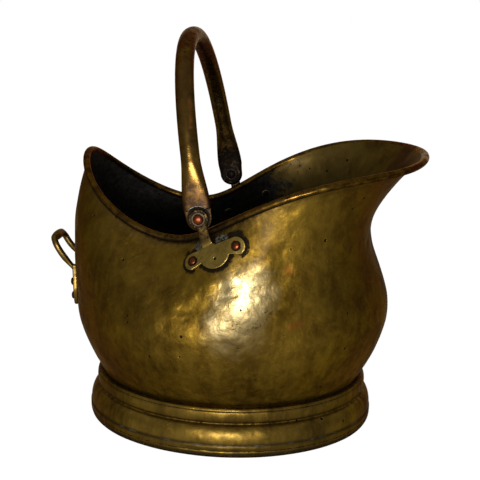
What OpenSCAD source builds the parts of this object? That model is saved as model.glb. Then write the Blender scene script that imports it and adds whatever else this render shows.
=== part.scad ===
// Brass helmet coal scuttle: a hammered bowl that rises into a pouring spout, on a spun foot,
// with a swinging bail and a fixed hand grip at the back.
// +X is the spout, +Z is up, and the origin is the middle of the foot on the floor.

/* [Mouth: where the rim runs] */
// Reach of the rim from the upright axis at the tip of the spout
lip_reach = 193; // [170:1:220]
// Height of the rim at the tip of the spout
lip_height = 284; // [260:1:310]
// Reach of the rim 30 degrees round from the spout
brow_reach = 190; // [170:1:215]
// Height of the rim 30 degrees round
brow_height = 281; // [260:1:300]
// Reach of the rim 60 degrees round
cheek_reach = 165; // [155:1:180]
// Height of the rim 60 degrees round
cheek_height = 266; // [250:1:280]
// Reach of the rim at the side
side_reach = 127; // [118:1:138]
// Height of the rim at the side
side_height = 224; // [215:1:240]
// Reach of the rim 120 degrees round, where it dips lowest
dip_reach = 119; // [112:1:130]
// Height of the rim at its lowest
dip_height = 207; // [200:1:220]
// Reach of the rim 150 degrees round
quarter_reach = 147; // [138:1:158]
// Height of the rim 150 degrees round
quarter_height = 240; // [228:1:252]
// Reach of the rim at the back
back_reach = 153.5; // [145:1:165]
// Height of the rim at the back
back_height = 273; // [260:1:290]

/* [Flare: how the sheet meets the rim] */
// Outward lean of the sheet at the spout, in degrees
front_lean = 47; // [35:1:55]
// Length that holds that lean at the spout
front_hold = 125; // [100:1:140]
// Outward lean 45 degrees round
fore_lean = 38; // [30:1:46]
// Length that holds that lean 45 degrees round
fore_hold = 59; // [45:1:75]
// Outward lean at the side, negative for inwards
side_lean = -27; // [-35:1:-15]
// Length that holds that lean at the side
side_hold = 31; // [20:1:40]
// Outward lean 135 degrees round
rear_lean = -40; // [-50:1:-30]
// Length that holds that lean 135 degrees round
rear_hold = 54; // [40:1:65]
// Outward lean at the back
back_lean = -23; // [-30:1:-12]
// Length that holds that lean at the back
back_hold = 59; // [45:1:70]

/* [Bowl] */
// Radius of the bowl at its belly
belly_r = 164; // [152:1:175]
// Height of the belly
belly_z = 121; // [110:1:132]
// Upright run of the sheet above the belly at the front
front_rise = 61; // [45:1:75]
// Upright run of the sheet above the belly at the side
side_rise = 32; // [22:1:42]
// Upright run of the sheet above the belly at the back
back_rise = 29; // [20:1:40]
// Upright run of the sheet below the belly
belly_run = 28; // [20:1:36]
// Radius of the neck where the bowl stands in the foot
neck_r = 136; // [125:1:142]
// Outward lean of the bowl as it leaves the neck, in degrees
neck_lean = 35; // [20:1:50]
// Length that holds that lean
neck_hold = 14; // [8:1:20]
// Depth of the neck that is let into the foot
neck_depth = 11; // [8:1:14]
// Thickness of the brass sheet
sheet = 1.5; // [1.2:0.1:1.8]
// Diameter of the rolled rim
bead_d = 7.2; // [6.4:0.1:8.4]
// Angle through which the sheet is rolled round the rim wire
roll_turn = 285; // [250:5:290]
// Depth of the dished bottom below the neck's shoulder
bottom_drop = 2; // [1:0.5:4]

/* [Foot] */
// Outer radius of the foot at the floor
foot_r = 150; // [145:1:160]
// Height of the foot
foot_h = 48; // [45:1:54]
// Height of the plain band at the floor
band_h = 12; // [9:1:15]
// Radius of the hollow between the flare and the collar
waist_r = 140; // [138:0.5:142]
// Height of that hollow
waist_z = 33; // [30:0.5:36]
// How far the collar swells out past the hollow
collar_swell = 2.6; // [1.5:0.1:4]
// Thickness of the spun foot
foot_sheet = 2; // [1.5:0.1:2.5]
// Width of the edge turned in under the foot
foot_hem = 8; // [5:1:12]

/* [Bail] */
// Diameter of the bail's tube
bail_d = 18.5; // [15:0.5:20]
// Wall of the bail's tube
bail_wall = 1.8; // [1.4:0.1:2.4]
// Height of the arch above its pivots, to the middle of the tube
bail_height = 166; // [150:1:185]
// Squareness of the arch, where 2 is an ellipse
bail_square = 2.24; // [2:0.02:2.6]
// Backward lean of the bail as it stands, in degrees
bail_lean = 10; // [0:1:15]
// Width of the flattened ends
paddle_w = 27; // [25.5:0.5:28]
// Diameter of the round tips of those ends
tip_d = 25; // [24.4:0.2:25.4]
// Thickness of the flattened ends
paddle_t = 9.6; // [9:0.2:11]
// Length over which the tube is flattened
paddle_run = 48; // [38:1:60]
// Width of the bevel round the inner face of the ends, which clears the rim
paddle_bevel = 2; // [1.6:0.1:2.4]
// Thickness left at the end, where it laps the lug
lap_t = 4.6; // [4:0.1:5]
// Radius of the round recess that takes the head of the lug
lap_r = 12; // [11.5:0.1:12.5]
// Length of the recess past the pivot, which clears the tongue as the bail lies down
lap_rise = 9; // [8:0.5:10.5]

/* [Lugs] */
// Angle of the lugs round from the spout, in degrees
lug_angle = 91.4; // [89:0.2:94]
// Distance of the lug's rivets below the rim, along the wall
lug_drop = 25.5; // [22:0.5:30]
// Distance between the lug's two rivets
lug_pitch = 48; // [42:1:54]
// Thickness of the lug's plate
plate_t = 2.5; // [2:0.1:3]
// Radius of the lobes round the rivets
lobe_r = 8.8; // [7.5:0.1:9.5]
// Radius of the wide middle lobe
mid_lobe_r = 16.6; // [15:0.2:18]
// How far the middle lobe hangs below the rivets
mid_lobe_drop = 14.5; // [12:0.5:17]
// How far the straight web between the lobes hangs below the rivets
web_drop = 5.5; // [4:0.5:7]
// Radius of the shoulders beside the tongue
shoulder_r = 5; // [3:0.5:7]
// Distance of the spare hole below the rivets
spare_drop = 5.3; // [3:0.1:8]
// Diameter of the spare hole
spare_d = 3; // [2:0.1:4]
// Offset of the tongue towards the back
tongue_offset = 6.2; // [3:0.2:8]
// Width of the tongue
tongue_w = 12; // [10:0.5:13]
// Thickness of the tongue and of the lug's head
tongue_t = 4.8; // [4.2:0.1:5.2]
// Radius of the lug's head
head_r = 9.6; // [8.5:0.1:10.5]
// Height of the pivot above the rivets
pivot_rise = 32.5; // [31:0.5:38]
// Distance of the pivot behind the middle of the plate
pivot_back = 17.5; // [14:0.5:20]

/* [Rivets] */
// Shank diameter of the plate rivets
rivet_d = 5; // [4:0.2:6]
// Head diameter of the plate rivets
rivet_head_d = 8; // [7:0.2:9]
// Height of the plate rivets' heads
rivet_head_h = 2.2; // [1.6:0.1:3]
// Diameter of the burrs that the rivets are closed over
burr_d = 10; // [9:0.5:12]
// Thickness of the burrs
burr_t = 1; // [0.8:0.1:1.4]
// Shank diameter of the pivot rivets
pivot_d = 7; // [6:0.2:8]
// Head diameter of the pivot rivets
pivot_head_d = 10; // [9:0.5:11]
// Height of the pivot rivets' heads
pivot_head_h = 3; // [2:0.2:4]
// Diameter of the pivot washers
washer_d = 14.5; // [12:0.5:16]
// Thickness of the pivot washers
washer_t = 1.2; // [0.8:0.1:1.6]

/* [Rear grip] */
// Distance from the middle to each foot of the rear grip
grip_foot_y = 24; // [20:1:30]
// Distance from the middle to the axis of each arm at the grip
grip_arm_y = 21; // [17:1:24]
// Height of the upper rivet of each foot
grip_rivet_z = 137.5; // [134:0.5:142]
// Distance between the two rivets of a foot
grip_pitch = 15; // [13:0.5:17]
// Width of the leaf-shaped feet
leaf_w = 15; // [13:0.5:17]
// Thickness of the leaf-shaped feet
leaf_t = 4.2; // [3:0.1:5]
// Length of a foot past its lower rivet
leaf_tip = 10; // [8:0.5:12]
// Length of a foot past its upper rivet
leaf_neck = 18; // [15:0.5:21]
// Diameter of the arms
arm_d = 6.8; // [6:0.2:8]
// Distance of the grip's axis behind the feet
grip_reach = 24; // [20:0.5:28]
// Height of the grip's axis above the tops of the feet
grip_rise = 30; // [26:1:36]
// Outward lean of the arms as they leave the feet, in degrees
arm_lean = 44; // [35:1:52]
// Outward lean of the arms where they turn into the grip
bend_lean = 30; // [15:1:40]
// Bend radius where an arm turns into the grip
grip_bend = 9; // [7:0.5:11]
// Diameter of the grip at its middle
grip_d = 9.6; // [8:0.2:11]

/* [Fits] */
// Gap left where two curved sheets lie on each other
seat = 0.35; // [0.3:0.05:0.5]
// Gap between a flat burr and the curved wall above its middle
burr_seat = 0.8; // [0.7:0.05:0.95]
// Side clearance of a moving joint
side_play = 0.2; // [0.1:0.05:0.4]
// Radial clearance of the bail on its pivot rivets
run_fit = 0.08; // [0.05:0.01:0.1]
// Radial clearance of a fixed rivet in its hole
rivet_fit = 0.05; // [0.02:0.01:0.1]
// Clearance round the wire in its roll
wire_fit = 0.2; // [0.15:0.05:0.3]

/* [Hidden] */

brass = "#8c7430";
old_brass = "#7b6229";
dark_brass = "#6a5230";
copper = "#a8583c";

round_fn = 48;          // segments of the exact round parts in the preview
shell_columns = 60;     // meridians of the bowl
upper_rows = 13;        // steps from the belly up to the rim
lower_rows = 6;         // steps from the neck up to the belly
roll_steps = 9;         // steps of the sheet round the rim wire
wire_sides = 8;
bead_r = bead_d / 2;
wire_r = (bead_r - sheet) * cos(180 / roll_steps) - wire_fit;
slit = 0.8;             // width of the slit left where the bail's tube is pressed flat

// ---------- small helpers ----------

function unit(v) = v / norm(v);
function bezier(a, b, c, d, t) =
    a * pow(1 - t, 3) + b * 3 * pow(1 - t, 2) * t + c * 3 * (1 - t) * t * t + d * pow(t, 3);
function sum(v, i = 0) = i < len(v) ? v[i] + sum(v, i + 1) : 0;

// Weights of a cosine curve that passes through values spaced evenly from 0 to 180 degrees
function end_half(i, n) = i == 0 || i == n ? 0.5 : 1;
function cosine_weights(v) =
    let (n = len(v) - 1)
    [for (k = [0:n])
        end_half(k, n) * 2 / n * sum([for (j = [0:n]) end_half(j, n) * v[j] * cos(k * j * 180 / n)])];
function cosine_curve(weights, a) = weights * [for (k = [0:len(weights) - 1]) cos(k * a)];

// Skin over rings of equal length that run clockwise round the way they follow each other.
// A wrapped skin closes on itself, an open one gets flat ends.
module skin(rings, wrap = false) {
    m = len(rings);
    n = len(rings[0]);
    spans = wrap ? m : m - 1;
    sides = [for (i = [0:spans - 1], j = [0:n - 1])
        let (a = i * n, b = ((i + 1) % m) * n, k = (j + 1) % n)
        each [[a + j, a + k, b + k], [a + j, b + k, b + j]]];
    caps = wrap ? [] : [for (j = [1:n - 2])
        each [[0, j + 1, j], [(m - 1) * n, (m - 1) * n + j, (m - 1) * n + j + 1]]];
    polyhedron([for (ring = rings) each ring], concat(sides, caps));
}

// Frame at point p with its z along z and its x as near as can be to x
module frame(p, z, x) {
    w = unit(z);
    v = unit(cross(w, x));
    u = cross(v, w);
    multmatrix([
        [u[0], v[0], w[0], p[0]],
        [u[1], v[1], w[1], p[1]],
        [u[2], v[2], w[2], p[2]],
        [0, 0, 0, 1]
    ]) children();
}

module tube(r_out, r_in, h) {
    difference() {
        cylinder(r = r_out, h = h, $fn = round_fn);
        translate([0, 0, -1]) cylinder(r = r_in, h = h + 2, $fn = round_fn);
    }
}

// ---------- the bowl as a surface of angle and height ----------

rim_reach_w = cosine_weights([lip_reach, brow_reach, cheek_reach, side_reach, dip_reach,
    quarter_reach, back_reach]);
rim_height_w = cosine_weights([lip_height, brow_height, cheek_height, side_height, dip_height,
    quarter_height, back_height]);
rise_w = cosine_weights([front_rise, side_rise, back_rise]);
flare = [[front_lean, front_hold], [fore_lean, fore_hold], [side_lean, side_hold],
    [rear_lean, rear_hold], [back_lean, back_hold]];
flare_out_w = cosine_weights([for (f = flare) f[1] * sin(f[0])]);
flare_up_w = cosine_weights([for (f = flare) f[1] * cos(f[0])]);

// Radius and height of the outer face. t runs from -1 at the neck through 0 at the belly
// to 1 at the rim.
function profile(a, t) =
    t < 0
    ? bezier([neck_r, foot_h + seat],
        [neck_r + neck_hold * sin(neck_lean), foot_h + seat + neck_hold * cos(neck_lean)],
        [belly_r, belly_z - belly_run], [belly_r, belly_z], t + 1)
    : let (edge = [cosine_curve(rim_reach_w, a), cosine_curve(rim_height_w, a)],
           flare_to = [cosine_curve(flare_out_w, a), cosine_curve(flare_up_w, a)])
      bezier([belly_r, belly_z], [belly_r, belly_z + cosine_curve(rise_w, a)],
        edge - flare_to, edge, t);
function wall(a, t) = let (p = profile(a, t)) [p[0] * cos(a), p[0] * sin(a), p[1]];

// Directions along the rim, up the wall and out of it
small_a = 0.05;
small_t = 0.001;
function wall_round(a, t) = (wall(a + small_a, t) - wall(a - small_a, t)) / (2 * small_a);
function wall_up(a, t) =
    let (t0 = max(t - small_t, -1), t1 = min(t + small_t, 1)) (wall(a, t1) - wall(a, t0)) / (t1 - t0);
function wall_out(a, t) = unit(cross(wall_round(a, t), wall_up(a, t)));
function wall_inside(a, t) = wall(a, t) - sheet * wall_out(a, t);

// The middle of the rolled rim, and a point at a turn round it that starts on the inner face
function bead_middle(a) = wall(a, 1) + (bead_r - sheet) * wall_out(a, 1);
function bead_up(a) = unit(cross(wall_out(a, 1), wall_round(a, 1)));
function round_bead(a, r, turn) =
    bead_middle(a) + r * (sin(turn) * bead_up(a) - cos(turn) * wall_out(a, 1));

// One cut through the sheet: up the outside, back round the inside of the roll, round its
// outside and down the inner face
function wall_section(a) = concat(
    [[neck_r * cos(a), neck_r * sin(a), foot_h - neck_depth]],
    [for (i = [0:lower_rows - 1]) wall(a, i / lower_rows - 1)],
    [for (i = [0:upper_rows - 1]) wall(a, i / upper_rows)],
    [for (i = [0:roll_steps - 1]) round_bead(a, bead_r - sheet, i * roll_turn / (roll_steps - 1))],
    [for (i = [roll_steps:-1:0]) round_bead(a, bead_r, i * roll_turn / roll_steps)],
    [for (i = [upper_rows - 1:-1:0]) wall_inside(a, i / upper_rows)],
    [for (i = [lower_rows - 1:-1:0]) wall_inside(a, i / lower_rows - 1)],
    [[(neck_r - sheet) * cos(a), (neck_r - sheet) * sin(a), foot_h - neck_depth]]
);

// ---------- where the lugs, pivots and rear grip sit, worked out on the left side ----------

lug_near_t = 0.88;      // place on the wall near which the lug sits
lug_t = 1 - lug_drop / norm(wall_up(lug_angle, lug_near_t));
lug_spread = lug_pitch / norm(wall_round(lug_angle, lug_t));
lug_rivet_angles = [lug_angle - lug_spread / 2, lug_angle + lug_spread / 2];
lug_front = wall(lug_rivet_angles[0], lug_t);
lug_back = wall(lug_rivet_angles[1], lug_t);
lug_middle = (lug_front + lug_back) / 2;
lug_half = norm(lug_back - lug_front) / 2;
// The plate's own axes: x towards the back along the rim, y up the wall, z out of it
lug_x = unit(lug_back - lug_front);
lug_y = unit(cross(wall_out(lug_angle, lug_t), lug_x));
lug_z = cross(lug_x, lug_y);

// The tongue passes outside the rolled rim, and the lug's head stands above it
pivot_x = lug_middle[0] - pivot_back;
pivot_z = lug_middle[2] + pivot_rise;
tongue_root = lug_middle + tongue_offset * lug_x + lobe_r * lug_y;
function bead_angle_at(x, low = 60, high = 120, halvings = 14) =
    let (a = (low + high) / 2)
    halvings == 0 ? a
    : round_bead(a, bead_r, 180)[0] > x ? bead_angle_at(x, a, high, halvings - 1)
    : bead_angle_at(x, low, a, halvings - 1);
bail_inner_y = round_bead(bead_angle_at(pivot_x + tip_d / 4), bead_r, 180)[1] + seat;
lap_y = bail_inner_y + lap_t;
head_y = lap_y + side_play;
bail_y = bail_inner_y + paddle_t / 2;

leaf_angle = 180 - asin(grip_foot_y / belly_r);
function t_at_height(a, z, low = 0, high = 1, halvings = 16) =
    let (t = (low + high) / 2)
    halvings == 0 ? t
    : profile(a, t)[1] < z ? t_at_height(a, z, t, high, halvings - 1)
    : t_at_height(a, z, low, t, halvings - 1);
grip_t_upper = t_at_height(leaf_angle, grip_rivet_z);
grip_t_lower = t_at_height(leaf_angle, grip_rivet_z - grip_pitch);
leaf_middle = (wall(leaf_angle, grip_t_upper) + wall(leaf_angle, grip_t_lower)) / 2;
leaf_up = unit(wall(leaf_angle, grip_t_upper) - wall(leaf_angle, grip_t_lower));

// ---------- bowl and foot ----------

module lug_rivet_frame(i) {
    a = lug_rivet_angles[i];
    frame(wall(a, lug_t), wall_out(a, lug_t), wall_up(a, lug_t)) children();
}

module grip_rivet_frame(i) {
    t = i == 0 ? grip_t_upper : grip_t_lower;
    frame(wall(leaf_angle, t), wall_out(leaf_angle, t), wall_up(leaf_angle, t)) children();
}

module rivet_hole() {
    inward = 3 * sheet;     // lengths that pass right through the wall and what lies on it
    outward = leaf_t + 4 * plate_t;
    translate([0, 0, -inward])
        cylinder(d = rivet_d + 2 * rivet_fit, h = inward + outward, $fn = round_fn);
}

module body_shell() {
    color(brass) difference() {
        skin([for (i = [0:shell_columns - 1]) wall_section(i * 360 / shell_columns)], wrap = true);
        for (side = [0, 1], i = [0, 1]) mirror([0, side, 0]) {
            lug_rivet_frame(i) rivet_hole();
            grip_rivet_frame(i) rivet_hole();
        }
    }
}

module rim_wire() {
    color(old_brass)
        skin([for (i = [0:shell_columns - 1])
            [for (j = [0:wire_sides - 1])
                round_bead(i * 360 / shell_columns, wire_r, -j * 360 / wire_sides)]], wrap = true);
}

// A disc with its edge turned down inside the neck
module bottom_plate() {
    r = neck_r - sheet - seat;
    top = foot_h - bottom_drop;
    color(dark_brass) rotate_extrude($fn = round_fn)
        polygon([[0, top - sheet], [r - sheet, top - sheet], [r - sheet, foot_h - neck_depth],
            [r, foot_h - neck_depth], [r, top - sheet], [r - sheet, top], [0, top]]);
}

function arc(middle, rx, ry, from, to, steps) =
    [for (i = [0:steps]) let (a = from + (to - from) * i / steps) middle + [rx * cos(a), ry * sin(a)]];

// The foot is spun from one ring of sheet: band, quarter-round flare, hollow and collar
module foot_ring() {
    corner = 2.2;
    groove = 0.7;
    lip_share = 0.7;        // width of the collar's top edge as a share of the foot's sheet
    collar_z = (waist_z + foot_h) / 2;
    inner_r = neck_r + seat;
    outside = concat(
        arc([foot_r - corner, corner], corner, corner, -90, 0, 4),
        [[foot_r, band_h], [foot_r - groove, band_h + groove], [foot_r - groove, band_h + 2 * groove]],
        arc([waist_r, band_h + 3 * groove], foot_r - groove - waist_r,
            waist_z - band_h - 5 * groove, 0, 80, 8),
        [[waist_r, waist_z]],
        arc([waist_r, collar_z], collar_swell, foot_h - collar_z, -70, 75, 8),
        [[neck_r + foot_sheet * lip_share, foot_h]]
    );
    inside = concat(
        [[inner_r, foot_h], [inner_r, waist_z + 2 * groove], [waist_r - foot_sheet, waist_z]],
        arc([waist_r - foot_sheet, band_h + 3 * groove], foot_r - groove - waist_r,
            waist_z - band_h - 5 * groove - foot_sheet, 80, 0, 8),
        [[foot_r - groove - foot_sheet, foot_sheet], [foot_r - foot_hem, foot_sheet],
            [foot_r - foot_hem, 0]]
    );
    color(brass) rotate_extrude($fn = round_fn * 2) polygon(concat(outside, inside));
}

// ---------- rivets, burrs and washers ----------

// A rivet along z: domed head on z = top, shank, and a smaller dome closed over z = bottom
module rivet(shank_d, head_d, head_h, top, bottom) {
    tail_spread = 2;        // how much wider than the shank its closed end is
    tail_share = 0.6;       // height of that end as a share of the head's
    tail_d = shank_d + tail_spread;
    tail_h = head_h * tail_share;
    steps = 6;
    rotate_extrude($fn = round_fn) polygon(concat(
        [[0, bottom - tail_h]],
        [for (i = [1:steps]) [tail_d / 2 * sin(i * 90 / steps), bottom - tail_h * cos(i * 90 / steps)]],
        [[shank_d / 2, bottom], [shank_d / 2, top]],
        [for (i = [steps:-1:0]) [head_d / 2 * sin(i * 90 / steps), top + head_h * cos(i * 90 / steps)]]
    ));
}

burr_z = -sheet - burr_seat;        // upper face of a burr below the outer face of the wall

module plate_rivet(under_head) {
    color(copper)
        rivet(rivet_d, rivet_head_d, rivet_head_h, under_head + rivet_fit, burr_z - burr_t - rivet_fit);
}

module burr() {
    color(copper) translate([0, 0, burr_z - burr_t]) tube(burr_d / 2, rivet_d / 2 + rivet_fit, burr_t);
}

module lug_rivet(i) { lug_rivet_frame(i) plate_rivet(seat + plate_t + seat / 2); }
module lug_burr(i) { lug_rivet_frame(i) burr(); }
module grip_rivet(i) { grip_rivet_frame(i) plate_rivet(seat + leaf_t + seat); }
module grip_burr(i) { grip_rivet_frame(i) burr(); }

// Along y outwards: closed tail, inner washer, lapped end of the bail, lug, outer washer, head
washer_in_y = bail_inner_y - side_play - washer_t;
washer_out_y = head_y + tongue_t + rivet_fit;

module along_y(y) { translate([pivot_x, y, pivot_z]) rotate([-90, 0, 0]) children(); }

module pivot_rivet() {
    color(copper) along_y(0)
        rivet(pivot_d, pivot_head_d, pivot_head_h, washer_out_y + washer_t + rivet_fit,
            washer_in_y - rivet_fit);
}

module pivot_washer(y) {
    color(dark_brass) along_y(y) tube(washer_d / 2, pivot_d / 2 + rivet_fit, washer_t);
}

// ---------- lug: a three-lobed plate, a tongue over the rim and a round head ----------

module lug_outline() {
    left = tongue_offset - tongue_w / 2;
    right = left + tongue_w;
    difference() {
        union() {
            for (s = [-1, 1]) translate([s * lug_half, 0]) circle(r = lobe_r, $fn = round_fn);
            translate([-lug_half, -web_drop]) square([2 * lug_half, lobe_r + web_drop]);
            intersection() {
                translate([0, mid_lobe_r - mid_lobe_drop]) circle(r = mid_lobe_r, $fn = round_fn * 2);
                translate([-mid_lobe_r, -mid_lobe_drop]) square([2 * mid_lobe_r, mid_lobe_drop]);
            }
            translate([left - shoulder_r, 0]) square([tongue_w + 2 * shoulder_r, lobe_r + shoulder_r]);
        }
        for (x = [left - shoulder_r, right + shoulder_r])
            translate([x, lobe_r + shoulder_r]) circle(r = shoulder_r, $fn = round_fn);
        translate([0, -spare_drop]) circle(d = spare_d, $fn = round_fn);
    }
}

// A piece of plate that follows the wall, from one seat above it
module wall_patch(a0, a1, t0, t1, na, nt, thick) {
    function at(i, j, up) =
        let (a = a0 + (a1 - a0) * i / na, t = t0 + (t1 - t0) * j / nt) wall(a, t) + up * wall_out(a, t);
    loop = 2 * (nt + 1);
    rings = [for (i = [0:na]) concat(
        [for (j = [0:nt]) at(i, j, seat + thick)], [for (j = [nt:-1:0]) at(i, j, seat)])];
    sides = [for (i = [0:na - 1], j = [0:loop - 1])
        let (a = i * loop, b = a + loop, k = (j + 1) % loop)
        each [[a + j, a + k, b + k], [a + j, b + k, b + j]]];
    ends = [for (i = [0, na], j = [0:nt - 1])
        let (a = i * loop + j, b = i * loop + loop - 1 - j)
        each (i == 0 ? [[a, b - 1, a + 1], [a, b, b - 1]] : [[a, a + 1, b - 1], [a, b - 1, b]])];
    polyhedron([for (ring = rings) each ring], concat(sides, ends));
}

// Rounded bar from the plate, over the rim and up to the head
module tongue() {
    steps = 8;
    sides = 12;
    sink = 0.8;             // depth to which the bar's root is let into the plate
    head_share = 0.6;       // how far into the head the bar runs, as a share of its radius
    head_width = 0.56;      // width of the bar there, as a share of the head's
    head_side = 3;          // distance of that end in front of the pivot
    plumb_lean = 0.25;      // forward slope of the bar below the head
    upper_pull = 0.6;       // how far the head and the plate draw the bar's curve, as shares of
    lower_pull = 1 / 6;     // the straight distance between them
    boxiness = 0.6;         // 1 gives a round bar, 0 a square one
    relief = 0.6;           // how much thinner the bar is than the head, to clear the bail's end
    root_out = wall_out(lug_angle + lug_spread / 4, lug_near_t);
    start = tongue_root + (seat + plate_t / 2 - sink) * root_out;
    finish = [pivot_x + head_side, head_y + (tongue_t + relief) / 2, pivot_z - head_r * head_share];
    run = norm(finish - start);
    plumb = upper_pull * run * [-plumb_lean, 0, 1];
    pull = lower_pull * run * lug_y;
    axis_at = function(t) bezier(start, start + pull, finish - plumb, finish, t);
    skin([for (i = [0:steps])
        let (t = i / steps,
             p = axis_at(t),
             up = unit(axis_at(t + 0.01) - axis_at(t - 0.01)),
             wide = unit(lug_x * (1 - t) + [-1, 0, 0] * t),
             thick = unit(cross(wide, up)),
             across = cross(up, thick),
             half_w = tongue_w / 2 * (1 - t) + head_width * head_r * t,
             half_t = (plate_t + (tongue_t - relief - plate_t) * min(1, t * 2)) / 2)
        [for (j = [0:sides - 1])
            let (a = j * 360 / sides, c = cos(a), s = sin(a))
            p + across * half_w * sign(c) * pow(abs(c), boxiness)
              + thick * half_t * sign(s) * pow(abs(s), boxiness)]]);
}

module lug() {
    margin = 4;             // spare plate past the outline, which is then cut to it
    cut_depth = 3 * plate_t;
    da = (lug_half + lobe_r + margin) / norm(wall_round(lug_angle, lug_t));
    dt = (mid_lobe_drop + margin) / norm(wall_up(lug_angle, lug_near_t));
    color(old_brass) difference() {
        union() {
            intersection() {
                wall_patch(lug_angle - da, lug_angle + da, lug_t - dt, 1, 12, 8, plate_t);
                frame(lug_middle, lug_z, lug_x)
                    translate([0, 0, -cut_depth]) linear_extrude(2 * cut_depth + plate_t) lug_outline();
            }
            tongue();
            along_y(head_y) cylinder(r = head_r, h = tongue_t, $fn = round_fn);
        }
        along_y(0) cylinder(d = pivot_d + 2 * rivet_fit, h = 2 * bail_y, $fn = round_fn);
        for (i = [0, 1]) lug_rivet_frame(i) rivet_hole();
    }
}

// ---------- bail: a tube bent to an arch, its ends flattened and lapped ----------

// Middle of the tube at a turn from 0 at the right pivot to 180 at the left one
function arch(turn) = [0, -bail_y * sign(cos(turn)) * pow(abs(cos(turn)), 2 / bail_square),
    bail_height * pow(abs(sin(turn)), 2 / bail_square)];

// Turn at which the hollow of the tube ends, just inside the recess for the lug
slit_below = 1.5;           // height by which the slit's ends reach below the top of the lap
slit_turn = asin(pow((lap_r - slit_below) / bail_height, bail_square / 2));

// Skin of the tube. The walls of its flattened ends are pressed together, and leave a thin slit.
module bail_skin(shrink, end_half_t, from, sides, steps) {
    flat_round = 0.6;       // 1 keeps the flattened ends elliptic, 0 makes them square
    blend = function(h) let (t = min(1, max(0, h / paddle_run))) t * t * (3 - 2 * t);
    skin([for (i = [0:steps])
        let (turn = from + (180 - 2 * from) * i / steps,
             p = arch(turn),
             along = i % steps == 0 ? [0, 0, 1 - 2 * i / steps] : unit(arch(turn + 0.5) - arch(turn - 0.5)),
             out = cross([1, 0, 0], along),
             b = blend(p[2] - lap_r),
             end_w = tip_d + (paddle_w - tip_d) * min(1, p[2] / lap_r),
             half_w = (end_w * (1 - b) + bail_d * b) / 2 - shrink,
             half_t = end_half_t * (1 - b) + (bail_d / 2 - shrink) * b,
             round_off = flat_round + (1 - flat_round) * b)
        [for (j = [0:sides - 1])
            let (a = j * 360 / sides, c = cos(a), s = sin(a))
            p + [1, 0, 0] * half_w * sign(c) * pow(abs(c), round_off)
              + out * half_t * sign(s) * pow(abs(s), round_off)]]);
}

module bail() {
    lean_frame = [pivot_x, 0, pivot_z];
    color(old_brass) translate(lean_frame) rotate([0, -bail_lean, 0]) difference() {
        union() {
            bail_skin(0, paddle_t / 2, 0, 16, 44);
            for (side = [0, 1]) mirror([0, side, 0])
                translate([0, bail_inner_y, 0]) rotate([-90, 0, 0]) {
                    cylinder(d1 = tip_d - 2 * paddle_bevel, d2 = tip_d, h = paddle_bevel,
                        $fn = round_fn * 2);
                    translate([0, 0, paddle_bevel])
                        cylinder(d = tip_d, h = lap_t - paddle_bevel, $fn = round_fn * 2);
                }
        }
        bail_skin(bail_wall, slit / 2, slit_turn, 12, 40);
        for (side = [0, 1]) mirror([0, side, 0]) {
            translate([0, lap_y, 0]) rotate([-90, 0, 0])
                cylinder(r = lap_r, h = paddle_t, $fn = round_fn * 2);
            translate([-paddle_w, lap_y, -paddle_w])
                cube([2 * paddle_w, paddle_t, paddle_w + lap_rise]);
            rotate([-90, 0, 0]) cylinder(d = pivot_d + 2 * run_fit, h = 2 * bail_y, $fn = round_fn);
        }
    }
}

// ---------- rear grip: a bent rod, swelled at its middle, on two leaf-shaped feet ----------

leaf_length = leaf_tip + grip_pitch + leaf_neck;
leaf_wide_at = 0.42;        // share of a foot's length at which it is widest
leaf_draw = 0.42;           // how much narrower it is at its neck
leaf_blunt = 2.2;           // roundness of its tip, where 2 is an ellipse

// Half width of a foot at share u of its length, up from its tip
function leaf_half(u) =
    u < leaf_wide_at
    ? leaf_w / 2 * sqrt(1 - pow(1 - u / leaf_wide_at, leaf_blunt))
    : leaf_w / 2 * (1 - leaf_draw * (u - leaf_wide_at) / (1 - leaf_wide_at));

module leaf_outline() {
    steps = 20;
    crowding = 1.5;         // draws the outline's points together at its round tip
    half = [for (i = [0:steps])
        let (u = pow(i / steps, crowding))
        [u * leaf_length - leaf_tip - grip_pitch / 2, leaf_half(u)]];
    polygon(concat(half, [for (i = [steps:-1:1]) [half[i][0], -half[i][1]]]));
}

leaf_out = wall_out(leaf_angle, (grip_t_upper + grip_t_lower) / 2);
arm_root = leaf_middle + leaf_up * (grip_pitch / 2 + leaf_neck - leaf_t) + leaf_out * (seat + leaf_t / 2);
grip_x = arm_root[0] - grip_reach;
grip_z = arm_root[2] + grip_rise;

// Middle of the rod from a foot (u = 0) up the arm (1), round the bend (2) to the middle (3)
function arm_along(lean) = [-sin(lean), 0, cos(lean)];
arm_pull = 0.4;             // how far its ends draw the arm's curve, as a share of its rise
function rod(u) =
    let (pull = arm_pull * grip_rise,
         corner = [grip_x, grip_arm_y - grip_bend, grip_z] - grip_bend * arm_along(bend_lean),
         bend_start = corner + [0, grip_bend, 0])
    u <= 1
    ? bezier(arm_root, arm_root + pull * arm_along(arm_lean),
        bend_start - pull * arm_along(bend_lean), bend_start, u)
    : u <= 2
    ? corner + grip_bend * (cos(90 * (u - 1)) * [0, 1, 0] + sin(90 * (u - 1)) * arm_along(bend_lean))
    : [grip_x, (grip_arm_y - grip_bend) * (3 - u), grip_z];

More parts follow.
